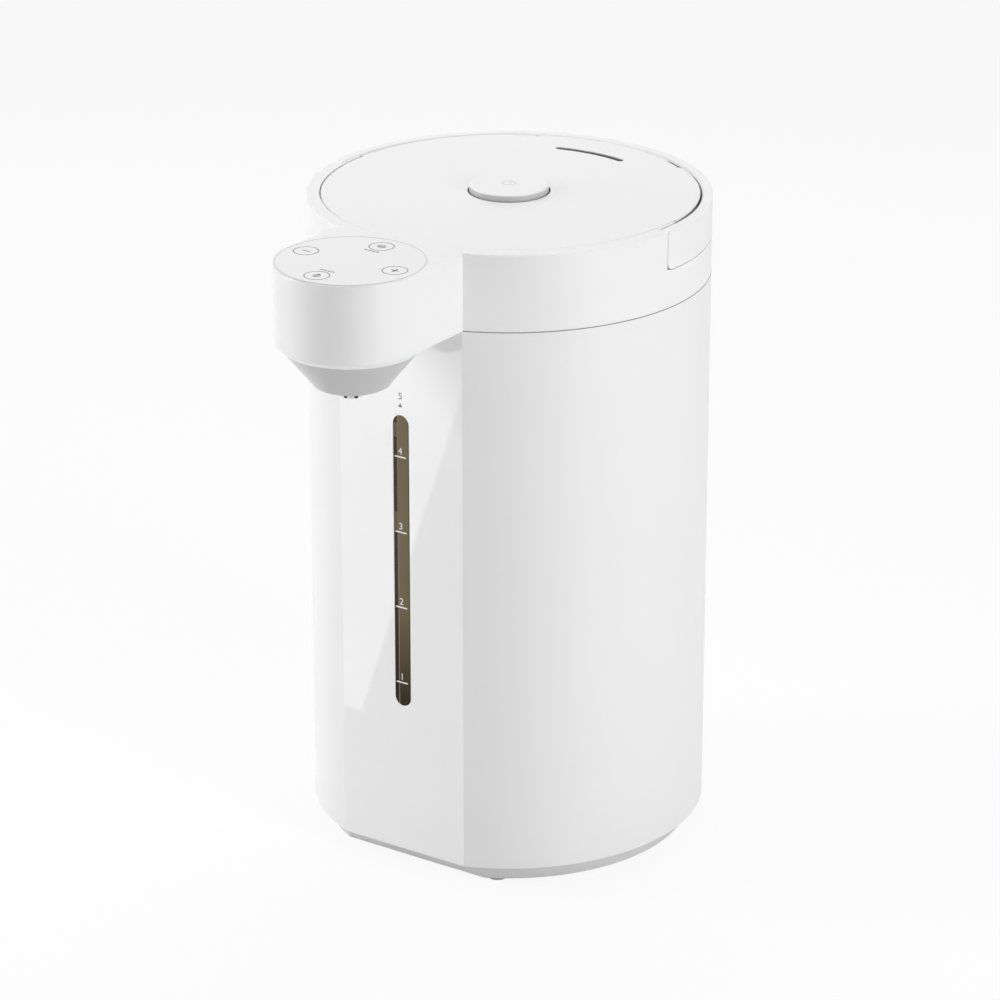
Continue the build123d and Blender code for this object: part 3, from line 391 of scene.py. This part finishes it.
print("finishes set on", sum(len(names) for names in nodeFinish.values()), "nodes")


def dropSelection():
    bpy.ops.object.select_all(action="DESELECT")


def makeActive(piece):
    dropSelection()
    piece.select_set(True)
    bpy.context.view_layer.objects.active = piece


# Puts a finished piece's place into its mesh, gives it its finish and lets it ride
def finishPiece(piece, name, finishName, body):
    piece.name = name
    makeActive(piece)
    bpy.ops.object.transform_apply(location=True, rotation=True, scale=True)
    piece.data.materials.clear()
    piece.data.materials.append(finishes[finishName])
    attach(piece, body)


def joinPieces(pieces):
    makeActive(pieces[0])
    for piece in pieces[1:]:
        piece.select_set(True)
    bpy.ops.object.join()
    return bpy.context.view_layer.objects.active


def editMode(kind):
    bpy.ops.object.mode_set(mode="EDIT")
    bpy.ops.mesh.select_mode(type=kind)
    bpy.ops.mesh.select_all(action="SELECT")


def objectMode():
    bpy.ops.object.mode_set(mode="OBJECT")


# Leaves the active piece in edit mode, with only the parts that pass the test selected
def pick(piece, kind, test):
    editMode(kind)
    bpy.ops.mesh.select_all(action="DESELECT")
    objectMode()
    mesh = piece.data
    parts = {"VERT": mesh.vertices, "EDGE": mesh.edges, "FACE": mesh.polygons}[kind]
    for part in parts:
        part.select = test(part)
    bpy.ops.object.mode_set(mode="EDIT")


def extrude(move):
    bpy.ops.mesh.extrude_region_move(TRANSFORM_OT_translate={"value": move})


meeting = 0.001 * mm  # points nearer to each other than this are one point


# Merges what meets, turns the faces outwards and leaves edit mode
def closeUp():
    bpy.ops.mesh.select_all(action="SELECT")
    bpy.ops.mesh.remove_doubles(threshold=meeting)
    bpy.ops.mesh.normals_make_consistent(inside=False)
    objectMode()


def smooth(degrees=30):
    bpy.ops.object.shade_smooth_by_angle(angle=radians(degrees))


def soften(piece, width, segments):
    softening = piece.modifiers.new("soften", "BEVEL")
    softening.width = width
    softening.segments = segments
    bpy.ops.object.modifier_apply(modifier="soften")


printed = {"corner": 0.3, "cornerSteps": 2, "ringSteps": 64}


# A number as a thin printed mesh, lying in a plane turned by the three angles
def printedText(words, size, place, turn, thickness):
    dropSelection()
    bpy.ops.object.text_add(location=place, rotation=turn)
    text = bpy.context.object
    text.data.body = words
    text.data.size = size
    text.data.align_x = "CENTER"
    text.data.align_y = "CENTER"
    text.data.extrude = thickness / 2
    bpy.ops.object.convert(target="MESH")
    text = bpy.context.object
    editMode("VERT")
    closeUp()
    return text


# A thin flat bar, its corners rounded by a bevel
def printedBar(width, depth, thickness, place, turn=(0, 0, 0)):
    dropSelection()
    bpy.ops.mesh.primitive_cube_add(size=1, location=place, rotation=turn)
    bar = bpy.context.object
    bar.scale = (width, depth, thickness)
    bpy.ops.object.transform_apply(location=False, rotation=False, scale=True)
    soften(bar, min(width, depth) * printed["corner"], printed["cornerSteps"])
    return bar


# A thin flat ring, made from a disc by insetting it and dropping the middle
def printedRing(radius, line, thickness, place):
    dropSelection()
    bpy.ops.mesh.primitive_circle_add(
        vertices=printed["ringSteps"], radius=radius + line / 2, fill_type="NGON", location=place
    )
    ring = bpy.context.object
    bpy.ops.object.mode_set(mode="EDIT")
    bpy.ops.mesh.select_all(action="SELECT")
    bpy.ops.mesh.inset(thickness=line, depth=0)
    bpy.ops.mesh.delete(type="FACE")
    bpy.ops.mesh.select_all(action="SELECT")
    extrude((0, 0, thickness))
    bpy.ops.mesh.select_all(action="SELECT")
    bpy.ops.mesh.normals_make_consistent(inside=False)
    objectMode()
    return ring


# A closed turned shape: one circle drawn out ring by ring round an outline of radius and height,
# both in millimetres, the height counted from the base
def turnedPiece(outline, base, centre, steps):
    profile = [(radius * mm, base + height * mm) for radius, height in outline]
    dropSelection()
    bpy.ops.mesh.primitive_circle_add(
        vertices=steps, radius=profile[0][0], fill_type="NOTHING",
        location=centre + raised(profile[0][1]),
    )
    piece = bpy.context.object
    editMode("EDGE")
    for (radius, level), (nextRadius, nextLevel) in zip(profile, profile[1:] + profile[:1]):
        extrude((0, 0, nextLevel - level))
        grow = nextRadius / radius
        middle = (centre[0], centre[1], nextLevel)
        bpy.ops.transform.resize(value=(grow, grow, 1), center_override=middle)
    closeUp()
    smooth()
    return piece


# Cuts the piece with the object made last, which is used up
def carve(piece, operation):
    tool = bpy.context.object
    makeActive(piece)
    cut = piece.modifiers.new("carve", "BOOLEAN")
    cut.operation = operation
    cut.object = tool
    bpy.ops.object.modifier_apply(modifier="carve")
    bpy.data.objects.remove(tool)


# Underside of the nose: a plate that closes it and a bevelled lip that leads into the cone
noseUnderside = {
    "lip": [(38.4, -0.05), (34.9, -3.2), (33.0, -3.2), (33.0, 0.4), (35.8, 0.4), (35.8, -0.05)],
    "steps": 128, "plate": 35.8 * mm, "plateSteps": 96, "rise": 0.4 * mm, "thick": 2.2 * mm,
    "rear": 0.01 * mm, "back": 48 * mm, "shell": 102.1 * mm, "shellSteps": 192,
    "shellCut": 20 * mm,
}


def makeNoseUnderside():
    look = noseUnderside
    lip = turnedPiece(look["lip"], seam, noseCentre, look["steps"])
    dropSelection()
    middle = noseCentre + raised(seam + look["rise"] + look["thick"] / 2)
    bpy.ops.mesh.primitive_cylinder_add(
        vertices=look["plateSteps"], radius=look["plate"], depth=look["thick"], location=middle
    )
    plate = bpy.context.object
    bpy.ops.object.transform_apply(location=True, rotation=False, scale=False)
    # The rear half is drawn back to a straight edge behind the shell's wall
    pick(plate, "VERT", lambda point: point.co[1] > noseCentre[1] + look["rear"])
    edge = (0, noseCentre[1], middle[2])
    bpy.ops.transform.resize(value=(1, 0, 1), center_override=edge)
    bpy.ops.transform.translate(value=(0, look["back"], 0))
    objectMode()
    dropSelection()
    bpy.ops.mesh.primitive_cylinder_add(
        vertices=look["shellSteps"], radius=look["shell"], depth=look["shellCut"],
        location=bodyCentre + raised(seam),
    )
    carve(plate, "DIFFERENCE")
    piece = joinPieces([lip, plate])
    finishPiece(piece, "noseUnderside", "whiteMoulding", "body")
    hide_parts("spout_cowl")


# Grey cone under the lip, hollow, with a rounded tip and a floor round the nozzle. Its grey is
# partly its own colour and partly painted shade for its downward face
spoutCone = {
    "outline": [
        (34.6, -2.95), (34.6, -3.5), (19.95, -21.7), (19.45, -22.4), (18.6, -22.9), (17.6, -23.05),
        (5.7, -23.05), (5.7, -21.1), (17.4, -21.1), (32.4, -2.95),
    ],
    "steps": 128,
}


def makeSpoutCone():
    cone = turnedPiece(spoutCone["outline"], seam, noseCentre, spoutCone["steps"])
    finishPiece(cone, "spoutCone", "greyCowlShaded", "body")
    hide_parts("spout_cowl")


# Painted shade: small dark discs round the mouth of the nozzle, between its flutes, standing for
# the shade inside its ports
nozzlePortShade = {
    "count": 6, "first": 30, "radius": 1.15 * mm, "steps": 24, "reach": 5.52 * mm,
    "up": 1.35 * mm, "deep": 0.5 * mm, "soft": 0.1 * mm,
}


def makeNozzlePorts():
    look = nozzlePortShade
    level = raised(nozzleLow[2] + look["up"])
    ports = []
    for step in range(look["count"]):
        turn = radians(look["first"] + 360 * step / look["count"])
        out = Vector((cos(turn), sin(turn), 0))
        dropSelection()
        bpy.ops.mesh.primitive_cylinder_add(
            vertices=look["steps"], radius=look["radius"], depth=look["deep"],
            location=noseCentre + out * (look["reach"] - look["deep"] / 2) + level,
            rotation=(pi / 2, 0, turn + pi / 2),
        )
        port = bpy.context.object
        soften(port, look["soft"], 1)
        ports.append(port)
    finishPiece(joinPieces(ports), "nozzlePortShade", "slotShadeDark", "body")


# Touch disc: seated in its recess, with a thin flange that covers the nose's top to its edge
touchDisc = {
    "seat": 36.5 * mm, "radius": 37.9 * mm, "steps": 160, "deep": 1.55 * mm, "lift": 0.02 * mm,
    "proud": 0.22 * mm, "soft": 0.12 * mm, "facesUp": 0.9,
}


def makeTouchDisc():
    look = touchDisc
    dropSelection()
    middle = noseCentre + raised(discHigh[2] - look["deep"] / 2 + look["lift"])
    bpy.ops.mesh.primitive_cylinder_add(
        vertices=look["steps"], radius=look["seat"], depth=look["deep"], location=middle
    )
    disc = bpy.context.object
    bpy.ops.object.transform_apply(location=True, rotation=False, scale=False)
    pick(disc, "FACE", lambda face: face.normal[2] > look["facesUp"])
    top = (noseCentre[0], noseCentre[1], middle[2] + look["deep"] / 2)
    grow = look["radius"] / look["seat"]
    extrude((0, 0, 0))
    bpy.ops.transform.resize(value=(grow, grow, 1), center_override=top)
    extrude((0, 0, look["proud"] - look["soft"]))
    extrude((0, 0, look["soft"]))
    shrink = 1 - look["soft"] / look["radius"]
    bpy.ops.transform.resize(value=(shrink, shrink, 1), center_override=top)
    closeUp()
    finishPiece(disc, "touchDisc", "touchGlass", "body")
    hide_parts("touch_panel")


# Painted shadow: a thin dark band between the collar and the shell that stands for the shadow in
# the gap between them, open where the nose stands out
collarSeamShadow = {
    "radius": 105.03 * mm, "steps": 288, "wall": 0.5 * mm, "high": 0.5 * mm, "clear": 2 * mm,
}


def makeCollarSeam():
    look = collarSeamShadow
    dropSelection()
    start = bodyCentre + raised(seam - look["high"] / 2)
    bpy.ops.mesh.primitive_circle_add(
        vertices=look["steps"], radius=look["radius"], fill_type="NOTHING", location=start
    )
    piece = bpy.context.object
    editMode("EDGE")
    extrude((0, 0, look["high"]))
    bpy.ops.mesh.select_all(action="SELECT")
    bpy.ops.mesh.normals_make_consistent(inside=False)
    objectMode()
    side = discHigh[0] + look["clear"]

    def behindNose(face):
        middle = piece.matrix_world @ face.center
        return abs(middle[0]) < side and middle[1] < bodyCentre[1]

    pick(piece, "FACE", behindNose)
    bpy.ops.mesh.delete(type="FACE")
    objectMode()
    wall = piece.modifiers.new("wall", "SOLIDIFY")
    wall.thickness = look["wall"]
    wall.offset = -1
    bpy.ops.object.modifier_apply(modifier="wall")
    finishPiece(piece, "collarSeamShadow", "seamShadowGrey", "body")


# Tinted pane, nearly flush with the panel, and the rim that holds it behind the shell
windowPane = {
    "wide": 9.7 * mm, "low": 93.85 * mm, "high": 254.85 * mm, "sunk": 0.3 * mm, "deep": 5.4 * mm,
    "rim": 3.0 * mm, "rimThick": 1.5 * mm, "ends": 0.998, "endSteps": 20,
}


# A slab with round ends, standing upright
def roundEndedSlab(wide, low, high, front, back):
    dropSelection()
    middle = Vector((0, (front + back) / 2, (low + high) / 2))
    bpy.ops.mesh.primitive_cube_add(size=1, location=middle)
    slab = bpy.context.object
    slab.scale = (wide, back - front, high - low)
    bpy.ops.object.transform_apply(location=True, rotation=False, scale=True)

    def runsBack(edge):
        first, second = (slab.data.vertices[index].co for index in edge.vertices)
        return abs(first[1] - second[1]) > (back - front) / 2

    pick(slab, "EDGE", runsBack)
    bpy.ops.mesh.bevel(offset=wide / 2 * windowPane["ends"], segments=windowPane["endSteps"])
    closeUp()
    smooth()
    return slab


def makeWindowPane():
    look = windowPane
    front = panelLow[1] + look["sunk"]
    back = front + look["deep"]
    rim = look["rim"]
    pane = roundEndedSlab(look["wide"], look["low"], look["high"], front, back)
    holder = roundEndedSlab(
        look["wide"] + 2 * rim, look["low"] - rim, look["high"] + rim, back - look["rimThick"], back
    )
    piece = joinPieces([pane, holder])
    finishPiece(piece, "windowPane", "windowTint", "body")
    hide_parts("window_lens")


# Painted shade: a dark baffle just under the lid's steam slot, standing for the shade inside the
# slot
steamSlotShade = {
    "radius": 78 * mm, "wide": 3.9 * mm, "half": 14.9, "sunk": 0.5 * mm, "thick": 0.8 * mm,
    "steps": 24,
}


def makeSteamSlot():
    look = steamSlotShade
    dropSelection()
    turn = radians(90 - look["half"])
    out = Vector((cos(turn), sin(turn), 0))
    level = raised(lidHigh[2] - look["sunk"] - look["thick"] / 2)
    bpy.ops.mesh.primitive_plane_add(
        size=1, location=bodyCentre + out * look["radius"] + level, rotation=(pi / 2, 0, turn)
    )
    piece = bpy.context.object
    piece.scale = (look["wide"], look["thick"], 1)
    bpy.ops.object.transform_apply(location=True, rotation=True, scale=True)
    editMode("FACE")
    bpy.ops.mesh.spin(
        steps=look["steps"], angle=-radians(2 * look["half"]), center=bodyCentre, axis=(0, 0, 1)
    )
    closeUp()
    finishPiece(piece, "steamSlotShade", "slotShadeDark", "lid")


# Corners of the handle's track, hollowed to the path of the handle's end
trackCorners = {
    "inner": 99.2 * mm, "outer": 104.97 * mm, "outerSteps": 512, "outerCut": 20 * mm,
    "pivot": (30.25 * mm, 344.25 * mm), "sweep": 16.75 * mm, "sweepSteps": 256,
    "sweepCut": 40 * mm, "front": 24.33 * mm, "low": 327.43 * mm,
    "size": (8 * mm, 4.2 * mm, 1.5 * mm),
}


def makeTrackCorners():
    look = trackCorners
    wide, deep, high = look["size"]
    level = bodyCentre + raised(look["low"])
    corners = []
    for side in (-1, 1):
        dropSelection()
        across = side * (look["inner"] + wide / 2)
        middle = Vector((across, look["front"] + deep / 2, look["low"] + high / 2))
        bpy.ops.mesh.primitive_cube_add(size=1, location=middle, scale=(wide, deep, high))
        corner = bpy.context.object
        dropSelection()
        bpy.ops.mesh.primitive_cylinder_add(
            vertices=look["sweepSteps"], radius=look["sweep"], depth=look["sweepCut"],
            location=(side * look["inner"], *look["pivot"]), rotation=(0, pi / 2, 0),
        )
        carve(corner, "DIFFERENCE")
        dropSelection()
        bpy.ops.mesh.primitive_cylinder_add(
            vertices=look["outerSteps"], radius=look["outer"], depth=look["outerCut"],
            location=level,
        )
        carve(corner, "INTERSECT")
        corners.append(corner)
    finishPiece(joinPieces(corners), "trackCorners", "whiteMoulding", "body")


# Painted shade: a grey band on the side of the press button for the shade on that side, and a dark
# ring in the gap that it moves in for the shadow in that gap
buttonTrim = {
    "band": [(20.3, -0.95), (20.56, -0.95), (20.56, -6.0), (20.3, -6.0)],
    "gap": [(20.7, -0.9), (21.45, -0.9), (21.45, -0.3), (20.7, -0.3)],
    "steps": 96,
}


def makeButtonTrim():
    look = buttonTrim
    band = turnedPiece(look["band"], buttonHigh[2], buttonCentre, look["steps"])
    finishPiece(band, "buttonShadedBand", "bandShadeGrey", "button")
    gap = turnedPiece(look["gap"], lidHigh[2], buttonCentre, look["steps"])
    finishPiece(gap, "buttonGapShadow", "slotShadeDark", "lid")


# Coil spring under the button: it sits on the cup's seat
coil = {
    "sides": 10, "turns": 4.5, "steps": 27, "wire": 0.5 * mm, "travel": 3 * mm, "smoothBelow": 50,
}


def makeButtonCoil():
    low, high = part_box("button_spring")
    tall, wire = high[2] - low[2], coil["wire"]
    reach = (high[0] - low[0]) / 2 - wire
    dropSelection()
    bpy.ops.mesh.primitive_circle_add(vertices=coil["sides"], radius=wire, fill_type="NOTHING")
    piece = bpy.context.object
    editMode("VERT")
    bpy.ops.transform.rotate(value=pi / 2, orient_axis="X", center_override=(0, 0, 0))
    bpy.ops.transform.translate(value=(reach, 0, wire))
    objectMode()
    bpy.ops.object.modifier_add(type="SCREW")
    turn = piece.modifiers[-1]
    turn.angle = 2 * pi * coil["turns"]
    turn.screw_offset = tall - 2 * wire
    turn.steps = turn.render_steps = round(coil["turns"] * coil["steps"])
    bpy.ops.object.modifier_apply(modifier=turn.name)
    editMode("EDGE")
    bpy.ops.mesh.fill_holes(sides=coil["sides"])
    closeUp()
    smooth(coil["smoothBelow"])
    piece.location = (buttonCentre[0], buttonCentre[1], low[2])
    finishPiece(piece, "buttonCoil", "coverSteel", "lid")
    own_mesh(piece)
    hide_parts("button_spring")


# Lip on the lid's edge that narrows the gap to the folded handle. It is left open in front, and
# where the lid turns past the handle.
lidLip = {
    "outline": [
        (96.0, -0.07), (97.6, -0.07), (97.9, -0.2), (98.1, -0.45), (98.1, -0.8), (96.0, -0.8),
    ],
    "steps": 256, "shift": 0.8 * mm, "open": [(-90 * mm, 42 * mm), (118.4 * mm, 125.2 * mm)],
    "cut": (300 * mm, 10 * mm),
}


def makeLidLip():
    look = lidLip
    centre = bodyCentre + Vector((0, look["shift"], 0))
    lip = turnedPiece(look["outline"], lidHigh[2], centre, look["steps"])
    wide, high = look["cut"]
    for front, back in look["open"]:
        dropSelection()
        bpy.ops.mesh.primitive_cube_add(
            size=1, location=(0, (front + back) / 2, lidHigh[2]), scale=(wide, back - front, high)
        )
        carve(lip, "DIFFERENCE")
    finishPiece(lip, "lidLip", "whiteMoulding", "lid")


# Touch marks: four thin rings with plain signs, and a short broken bar beside two of them
touchMarks = {
    "ring": 6.3 * mm, "line": 0.5 * mm, "ink": 0.05 * mm,
    "reach": 27 * mm, "front": -27.5 * mm, "back": 26.5 * mm,
    "sign": 4.6 * mm, "stroke": 0.9 * mm,
    "dotBack": 1.9 * mm, "dotFront": 1.7 * mm, "dotLine": 0.6 * mm,
    "dashRows": (18.1 * mm, -18.9 * mm), "dashSteps": (-1.5, -0.5, 0.5, 1.5),
    "dashPitch": 2.3 * mm, "dash": (1.8 * mm, 1.1 * mm), "edge": 0.4 * mm,
}


def makeTouchMarks():
    look = touchMarks
    reach, front, back = look["reach"], look["front"], look["back"]
    sign, stroke, ink = look["sign"], look["stroke"], look["ink"]
    top = noseCentre + raised(discHigh[2] + touchDisc["lift"] + touchDisc["proud"])

    def ringAt(x, y, radius, line):
        return printedRing(radius, line, ink, top + Vector((x, y, 0)))

    def barAt(x, y, wide, deep):
        return printedBar(wide, deep, ink, top + Vector((x, y, ink / 2)))

    marks = [
        ringAt(x, y, look["ring"], look["line"])
        for x, y in ((-reach, 0), (reach, 0), (0, back), (0, front))
    ]
    marks += [
        barAt(-reach, 0, sign, stroke), barAt(reach, 0, sign, stroke),
        barAt(reach, 0, stroke, sign), barAt(0, back, sign, stroke),
        barAt(0, front, stroke, sign),
        ringAt(0, back, look["dotBack"], look["dotLine"]),
        ringAt(0, front, look["dotFront"], look["dotLine"]),
    ]
    marks += [
        barAt(step * look["dashPitch"], y, *look["dash"])
        for y in look["dashRows"] for step in look["dashSteps"]
    ]
    finishPiece(joinPieces(marks), "touchMarks", "greyInk", "body")
    edge = printedRing(touchDisc["radius"] - look["edge"], look["edge"], ink, top)
    finishPiece(edge, "discEdge", "paleInk", "body")


# Level scale: white strokes and plain numbers on the window, a grey 5 and pointer above it
levelScale = {
    "marks": [(1, 106.8 * mm), (2, 149.1 * mm), (3, 190.9 * mm), (4, 232.2 * mm)],
    "stroke": (7.0 * mm, 0.8 * mm), "shift": -0.5 * mm, "number": 5.2 * mm, "numberLift": 3.1 * mm,
    "ink": 0.06 * mm, "full": 5.2 * mm, "top": 265.2 * mm, "pointer": 260.2 * mm,
    "pointerSize": 1.45 * mm,
}


def makeLevelScale():
    look = levelScale
    ink = look["ink"]
    upright = (pi / 2, 0, 0)
    face = panelLow[1] + windowPane["sunk"] - ink / 2
    width, depth = look["stroke"]
    white = []
    for litres, markHeight in look["marks"]:
        place = Vector((look["shift"], face, markHeight))
        white.append(printedBar(width, depth, ink, place, upright))
        place = place + raised(look["numberLift"])
        white.append(printedText(str(litres), look["number"], place, upright, ink))
    finishPiece(joinPieces(white), "levelMarks", "whiteInk", "body")
    front = panelLow[1] - ink / 2
    five = printedText("5", look["full"], Vector((0, front, look["top"])), upright, ink)
    dropSelection()
    spot = Vector((0, front - ink / 2, look["pointer"]))
    bpy.ops.mesh.primitive_circle_add(
        vertices=3, radius=look["pointerSize"], fill_type="NGON", location=spot, rotation=upright
    )
    pointer = bpy.context.object
    editMode("FACE")
    extrude((0, ink, 0))
    closeUp()
    finishPiece(joinPieces([five, pointer]), "fullMark", "greyInk", "body")


# Sign on the press button: a fine ring with a short stroke in it
buttonSign = {
    "ring": 3.4 * mm, "line": 0.4 * mm, "ink": 0.05 * mm, "stroke": (0.5 * mm, 3.0 * mm),
    "back": 1.2 * mm,
}


def makeButtonSign():
    look = buttonSign
    ink = look["ink"]
    top = buttonCentre + raised(buttonHigh[2])
    ring = printedRing(look["ring"], look["line"], ink, top)
    wide, deep = look["stroke"]
    stroke = printedBar(wide, deep, ink, top + Vector((0, look["back"], ink / 2)))
    finishPiece(joinPieces([ring, stroke]), "buttonSign", "paleInk", "button")


makeNoseUnderside()
makeSpoutCone()
makeNozzlePorts()
makeTouchDisc()
makeCollarSeam()
makeWindowPane()
print("nose, seam and window made")
makeSteamSlot()
makeButtonTrim()
makeButtonCoil()
makeLidLip()
makeTrackCorners()
print("lid, button and handle trim made")
makeTouchMarks()
makeLevelScale()
makeButtonSign()
print("printed marks made")

# Rays that see the pale room as white, so that gloss, metal and glass show it too
shownRays = ["Is Camera Ray", "Is Glossy Ray", "Is Transmission Ray"]

# Floor, white for those rays and still keeping a soft shadow
floorLook = {"size": 6.0, "shade": 0.9, "shown": 0.9}


def makeFloor():
    dropSelection()
    bpy.ops.mesh.primitive_plane_add(size=floorLook["size"], location=(0, 0, 0))
    floor = bpy.context.object
    floor.name = "studioFloor"
    finish = Finish("studioFloor")
    finish.set(Base_Color=grey(floorLook["shade"]), Roughness=1.0)
    glow = finish.node("ShaderNodeEmission", {}, {"Color": (1, 1, 1, 1), "Strength": 1.0})
    rays = sum(finish.node("ShaderNodeLightPath", {}, {}, name) for name in shownRays)
    ray = finish.node("ShaderNodeMath", {"operation": "MINIMUM"}, {0: rays, 1: 1})
    shader = Wire(finish, finish.shader.outputs[0])
    share = ray * floorLook["shown"]
    mixed = finish.node("ShaderNodeMixShader", {}, {0: share, 1: shader, 2: glow})
    finish.feed(finish.tree.nodes["Material Output"].inputs["Surface"], mixed)
    floor.data.materials.append(finish.material)


# Camera at the photograph's angle, worked out from the object's own edges in the picture
cameraLook = {
    "place": (1.21040, -1.74802, 1.03410), "azimuth": 34.276, "elevation": 21.685, "lens": 157.59,
    "sensor": 36,
}


def makeCamera():
    look = cameraLook
    data = bpy.data.cameras.new("photoCamera")
    data.lens = look["lens"]
    data.sensor_width = look["sensor"]
    data.sensor_fit = "HORIZONTAL"
    camera = bpy.data.objects.new("photoCamera", data)
    bpy.context.scene.collection.objects.link(camera)
    camera.location = look["place"]
    camera.rotation_euler = (radians(90 - look["elevation"]), 0, radians(look["azimuth"]))
    bpy.context.scene.camera = camera


# Soft studio: two tall side boxes, a top box and an even pale world. The narrow card close to
# the glossy panel shows only as its slanting reflection.
studioLook = {
    "world": 0.16, "target": (0, 0, 0.17),
    "boxes": [
        {
            "name": "leftBox", "angle": -60, "lift": 12, "far": 1.7, "size": (0.55, 1.6),
            "power": 21.8,
        },
        {
            "name": "rightBox", "angle": 80, "lift": 12, "far": 1.7, "size": (0.42, 1.6),
            "power": 19.9,
        },
        {"name": "topBox", "angle": 214, "lift": 72, "far": 1.5, "size": (1.3, 1.3), "power": 13.6},
    ],
    "card": {
        "name": "panelCard", "place": (-0.1573, -0.2116, 0.141), "lean": 18.8, "size": (0.13, 0.5),
        "power": 0.24,
    },
}


def makeWorld():
    world = bpy.data.worlds.new("paleStudio")
    bpy.context.scene.world = world
    world.use_nodes = True
    tree = world.node_tree
    sky = tree.nodes["Background"]
    sky.inputs["Color"].default_value = (1, 1, 1, 1)
    path = tree.nodes.new("ShaderNodeLightPath")
    seen = path.outputs[shownRays[0]]
    for name in shownRays[1:]:
        either = tree.nodes.new("ShaderNodeMath")
        either.operation = "MAXIMUM"
        tree.links.new(seen, either.inputs[0])
        tree.links.new(path.outputs[name], either.inputs[1])
        seen = either.outputs[0]
    most = tree.nodes.new("ShaderNodeMath")
    most.operation = "MULTIPLY_ADD"
    tree.links.new(seen, most.inputs[0])
    most.inputs[1].default_value = 1 - studioLook["world"]
    most.inputs[2].default_value = studioLook["world"]
    tree.links.new(most.outputs[0], sky.inputs["Strength"])


def makeLamp(look):
    data = bpy.data.lights.new(look["name"], "AREA")
    data.shape = "RECTANGLE"
    data.size, data.size_y = look["size"]
    data.energy = look["power"]
    lamp = bpy.data.objects.new(look["name"], data)
    bpy.context.scene.collection.objects.link(lamp)
    return lamp


def makeStudio():
    makeWorld()
    for box in studioLook["boxes"]:
        lamp = makeLamp(box)
        angle, lift = radians(box["angle"]), radians(box["lift"])
        away = Vector((sin(angle) * cos(lift), -cos(angle) * cos(lift), sin(lift)))
        lamp.location = Vector(studioLook["target"]) + away * box["far"]
        lamp.rotation_euler = away.to_track_quat("Z", "Y").to_euler()
    card = studioLook["card"]
    lamp = makeLamp(card)
    lamp.location = card["place"]
    lamp.rotation_euler = (radians(90), radians(card["lean"]), 0)
    lamp.visible_camera = False
    lamp.visible_diffuse = False


makeFloor()
makeCamera()
makeStudio()
bpy.context.scene.view_settings.view_transform = "Standard"
print("studio made")
